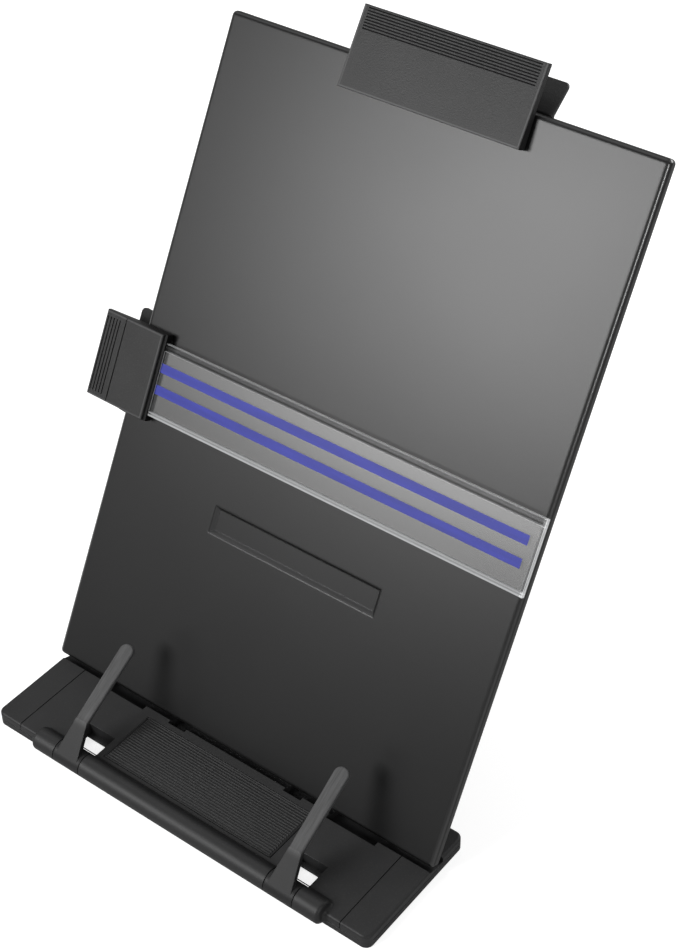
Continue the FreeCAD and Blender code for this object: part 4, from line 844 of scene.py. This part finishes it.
class COPYHOLDER_OT_fasteners(bpy.types.Operator):
    """Set the base's screws and the hinge brackets' rivets"""

    bl_idname = "copyholder.fasteners"
    bl_label = "Screws and Rivets"

    def execute(self, context):
        colours, sizes = context.scene.copy_holder_colours, context.scene.copy_holder_sizes
        finish = turned_steel("fastener_steel", colours.steel, WORLD, "z")
        self.repeat("cover_screws", "base", "base_screws", self.screw(sizes.screw_head),
                    WORLD, finish)
        self.repeat("bracket_rivets", "board", "hinge_rivets", self.rivet(sizes.rivet_head),
                    BOARD, finish)
        return {"FINISHED"}

    def repeat(self, name, body, node, piece, carrier, finish):
        """One fastener at each place of the CAD node's solids."""
        form = bmesh.new()
        for spot in middles(NODES[node].data, carrier.inverted()):
            form.verts.new(spot)
        points = bpy.data.meshes.new(name + ".places")
        form.to_mesh(points)
        form.free()
        tree = Builder("Fasteners", {"Fastener": piece, "Finish": finish})
        shown = tree.node("GeometryNodeObjectInfo", {}, {"Object": tree.given("Fastener")},
                          output="Geometry")
        shape = tree.node("GeometryNodeInstanceOnPoints", {}, {
            "Points": tree.given("Geometry"), "Instance": shown})
        made = tree.make(name, shape, carrier, scene_object(name + ".points", points))
        bpy.data.objects.remove(piece)
        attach(made, body)
        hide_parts(node)

    def screw(self, head):
        """A pan-head screw, head down, with a cross recess, centred on its length."""
        half, thick = 0.00285, 0.0007
        thread, thread_depth, pitch, run_out = 0.0013, 0.00018, 0.00035, 0.0002
        slot, slot_reach, slot_depth, past = 0.0003, head * 0.62, 0.00045, 0.001
        seat = thick - half
        # Crests and roots of the thread by turns.
        turns = [(thread - thread_depth * (index % 2), seat + run_out + pitch * index)
                 for index in range(14)]
        form = turned([(0, -half), (head * 0.72, -half), (head * 0.94, -half + 0.00018),
                       (head, -half + 0.0004), (head, seat), (thread, seat), *turns, (0, half)])
        body = scene_object("screw", mesh_of("screw", form))
        form = bmesh.new()
        for across, along in ((slot, slot_reach), (slot_reach, slot)):
            slab(form, (-across, -along, -half - past), (across, along, slot_depth - half))
        cutter = scene_object("recess", mesh_of("recess", form))
        modifier = body.modifiers.new("Recess", "BOOLEAN")
        modifier.operation = "DIFFERENCE"
        modifier.object = cutter
        modifier.use_self = True
        mesh = evaluated(body)
        body.modifiers.clear()
        body.data = mesh
        bpy.data.objects.remove(cutter)
        return body

    def rivet(self, head):
        """A rivet with a domed head at each end, centred on its length."""
        half, shank, rise = 0.00215, 0.00125, 0.0008
        dome = [(head * math.sin(step * math.pi / 12), rise * math.cos(step * math.pi / 12))
                for step in range(7)]
        upper = [(radius, half - rise + height) for radius, height in dome]
        lower = [(radius, -height) for radius, height in reversed(upper)]
        form = turned([*upper, (shank, half - rise), (shank, rise - half), *lower])
        return scene_object("rivet", mesh_of("rivet", form))


def middles(mesh, inverse):
    """The middle of each separate solid of a mesh, in a carrier's frame."""
    form = bmesh.new()
    form.from_mesh(mesh)
    form.transform(inverse)
    bmesh.ops.remove_doubles(form, verts=form.verts, dist=MERGE)
    left, spots = set(form.verts), []
    while left:
        island, fresh = set(), [next(iter(left))]
        while fresh:
            vert = fresh.pop()
            if vert not in island:
                island.add(vert)
                fresh.extend(edge.other_vert(vert) for edge in vert.link_edges)
        left -= island
        low = [min(vert.co[axis] for vert in island) for axis in range(3)]
        high = [max(vert.co[axis] for vert in island) for axis in range(3)]
        spots.append((Vector(low) + Vector(high)) / 2)
    form.free()
    return sorted(spots, key=lambda spot: (round(spot.x, 4), round(spot.y, 4)))


class COPYHOLDER_OT_rods(bpy.types.Operator):
    """Finish the rods and pins"""

    bl_idname = "copyholder.rods"
    bl_label = "Rods and Pins"

    def execute(self, context):
        colours = context.scene.copy_holder_colours
        coat(turned_steel("rod_steel", colours.steel, WORLD, "x"),
             "hinge_rod", "left_arm_rod", "right_arm_rod", "leg_pin")
        coat(turned_steel("clip_pin_steel", colours.steel, PAGE_CLIP, "x"), "clip_pin")
        coat(turned_steel("guide_pin_steel", colours.steel, GUIDE_CLIP, "x"), "guide_pin")
        return {"FINISHED"}


class COPYHOLDER_OT_feet(bpy.types.Operator):
    """Finish the rubber strips and the leg's rubber foot"""

    bl_idname = "copyholder.feet"
    bl_label = "Rubber Feet"

    def execute(self, context):
        colours = context.scene.copy_holder_colours
        coat(rubbery("strip_rubber", colours.rubber), "rubber_strips")
        coat(rubbery("foot_rubber", colours.rubber, LEG), "leg_foot")
        return {"FINISHED"}


# ---------------------------------------------------------------- stage


class COPYHOLDER_OT_stage(bpy.types.Operator):
    """Set the floor, the lights and the camera"""

    bl_idname = "copyholder.stage"
    bl_label = "Stage"

    def execute(self, context):
        stage = context.scene.copy_holder_stage
        self.floor(stage.floor)
        for name, power_setting, *spot in LAMPS:
            self.lamp(name, getattr(stage, power_setting), *spot)
        self.room(stage.room)
        self.camera()
        context.scene.view_settings.view_transform = "Standard"
        return {"FINISHED"}

    def floor(self, shade):
        form = bmesh.new()
        bmesh.ops.create_grid(form, x_segments=8, y_segments=8, size=4.0)
        floor = scene_object("studio_floor", mesh_of("studio_floor", form))
        if floor.data.polygons[0].normal.z < 0:
            floor.data.flip_normals()
        material = bpy.data.materials.new("studio_floor")
        material.use_nodes = True
        net = Net(material.node_tree)
        lit = net.node("ShaderNodeBsdfDiffuse", {}, {"Color": (*shade, 1.0)})
        white = net.node("ShaderNodeEmission", {}, {"Color": (1, 1, 1, 1), "Strength": 1.0})
        point = net.node("ShaderNodeTexCoord", {}, {}, output="Object")
        away = net.node("ShaderNodeVectorMath", {"operation": "LENGTH"}, {0: point},
                        output="Value").ramp(GLOW_START, GLOW_FULL)
        strength = NEAR_GLOW + (1.0 - NEAR_GLOW) * away
        glow = net.node("ShaderNodeMixShader", {}, {0: seen(net) * strength, 2: white})
        both = net.node("ShaderNodeAddShader", {}, {0: lit, 1: glow})
        net.end("ShaderNodeOutputMaterial", both)
        floor.data.materials.append(material)

    def lamp(self, name, energy, place, target, width, height):
        light = bpy.data.lights.new(name, "AREA")
        light.shape = "RECTANGLE"
        light.size, light.size_y = width, height
        light.energy = energy
        lamp = scene_object(name, light)
        lamp.location = place
        lamp.rotation_euler = (Vector(target) - Vector(place)).to_track_quat("-Z", "Y").to_euler()
        lamp.visible_camera = False

    def room(self, strength):
        world = bpy.data.worlds.new("room")
        world.use_nodes = True
        bpy.context.scene.world = world
        net = Net(world.node_tree)
        even = net.node("ShaderNodeBackground", {}, {0: (1, 1, 1, 1), "Strength": strength})
        white = net.node("ShaderNodeBackground", {}, {0: (1, 1, 1, 1), "Strength": 1.0})
        mixed = net.node("ShaderNodeMixShader", {}, {0: seen(net), 1: even, 2: white})
        net.end("ShaderNodeOutputWorld", mixed)

    def camera(self):
        azimuth, elevation, roll = map(math.radians, CAMERA_ANGLES)
        back = Vector((math.sin(azimuth) * math.cos(elevation),
                       -math.cos(azimuth) * math.cos(elevation), math.sin(elevation)))
        right = Vector((math.cos(azimuth), math.sin(azimuth), 0.0))
        up = back.cross(right)
        across = right * math.cos(roll) + up * math.sin(roll)
        upward = up * math.cos(roll) - right * math.sin(roll)
        lens = bpy.data.cameras.new("camera")
        lens.lens, lens.sensor_width = LENS, SENSOR
        lens.clip_start, lens.clip_end = 0.01, 50.0
        camera = scene_object("camera", lens)
        turn = Matrix((across, upward, back)).transposed().to_4x4()
        camera.matrix_world = Matrix.Translation(CAMERA_PIVOT + back * CAMERA_AWAY) @ turn
        bpy.context.scene.camera = camera


def seen(net):
    """1 for the camera's rays and rays through glass, MIRRORED for glossy ones, else 0."""
    path = net.tree.nodes.new("ShaderNodeLightPath")
    camera, through, mirror = [Signal(net, path.outputs[name]) for name in
                               ("Is Camera Ray", "Is Transmission Ray", "Is Glossy Ray")]
    return camera.larger(through).larger(mirror * MIRRORED)


# ---------------------------------------------------------------- the add-on


PIECES = (COPYHOLDER_OT_board, COPYHOLDER_OT_base, COPYHOLDER_OT_ribbed_pad,
          COPYHOLDER_OT_arms, COPYHOLDER_OT_clips, COPYHOLDER_OT_line_guide,
          COPYHOLDER_OT_springs, COPYHOLDER_OT_fasteners, COPYHOLDER_OT_rods,
          COPYHOLDER_OT_feet, COPYHOLDER_OT_stage)
GROUPS = {"copy_holder_colours": CopyHolderColours, "copy_holder_sizes": CopyHolderSizes,
          "copy_holder_stage": CopyHolderStage}


class COPYHOLDER_PT_parts(bpy.types.Panel):
    """Lists the holder's parts"""

    bl_idname = "COPYHOLDER_PT_parts"
    bl_label = "Copy Holder"
    bl_space_type = "VIEW_3D"
    bl_region_type = "UI"
    bl_category = "Copy Holder"

    def draw(self, context):
        for name, group in GROUPS.items():
            box = self.layout.box()
            box.label(text=group.__doc__)
            for field in group.__annotations__:
                box.prop(getattr(context.scene, name), field)
        for piece in PIECES:
            self.layout.operator(piece.bl_idname)


def register():
    for item in (*GROUPS.values(), *PIECES, COPYHOLDER_PT_parts):
        bpy.utils.register_class(item)
    for name, group in GROUPS.items():
        setattr(bpy.types.Scene, name, PointerProperty(type=group))


def unregister():
    for name in GROUPS:
        delattr(bpy.types.Scene, name)
    for item in (COPYHOLDER_PT_parts, *PIECES, *GROUPS.values()):
        bpy.utils.unregister_class(item)


def main():
    register()
    for piece in PIECES:
        family, name = piece.bl_idname.split(".")
        getattr(getattr(bpy.ops, family), name)()


if __name__ == "__main__":
    main()
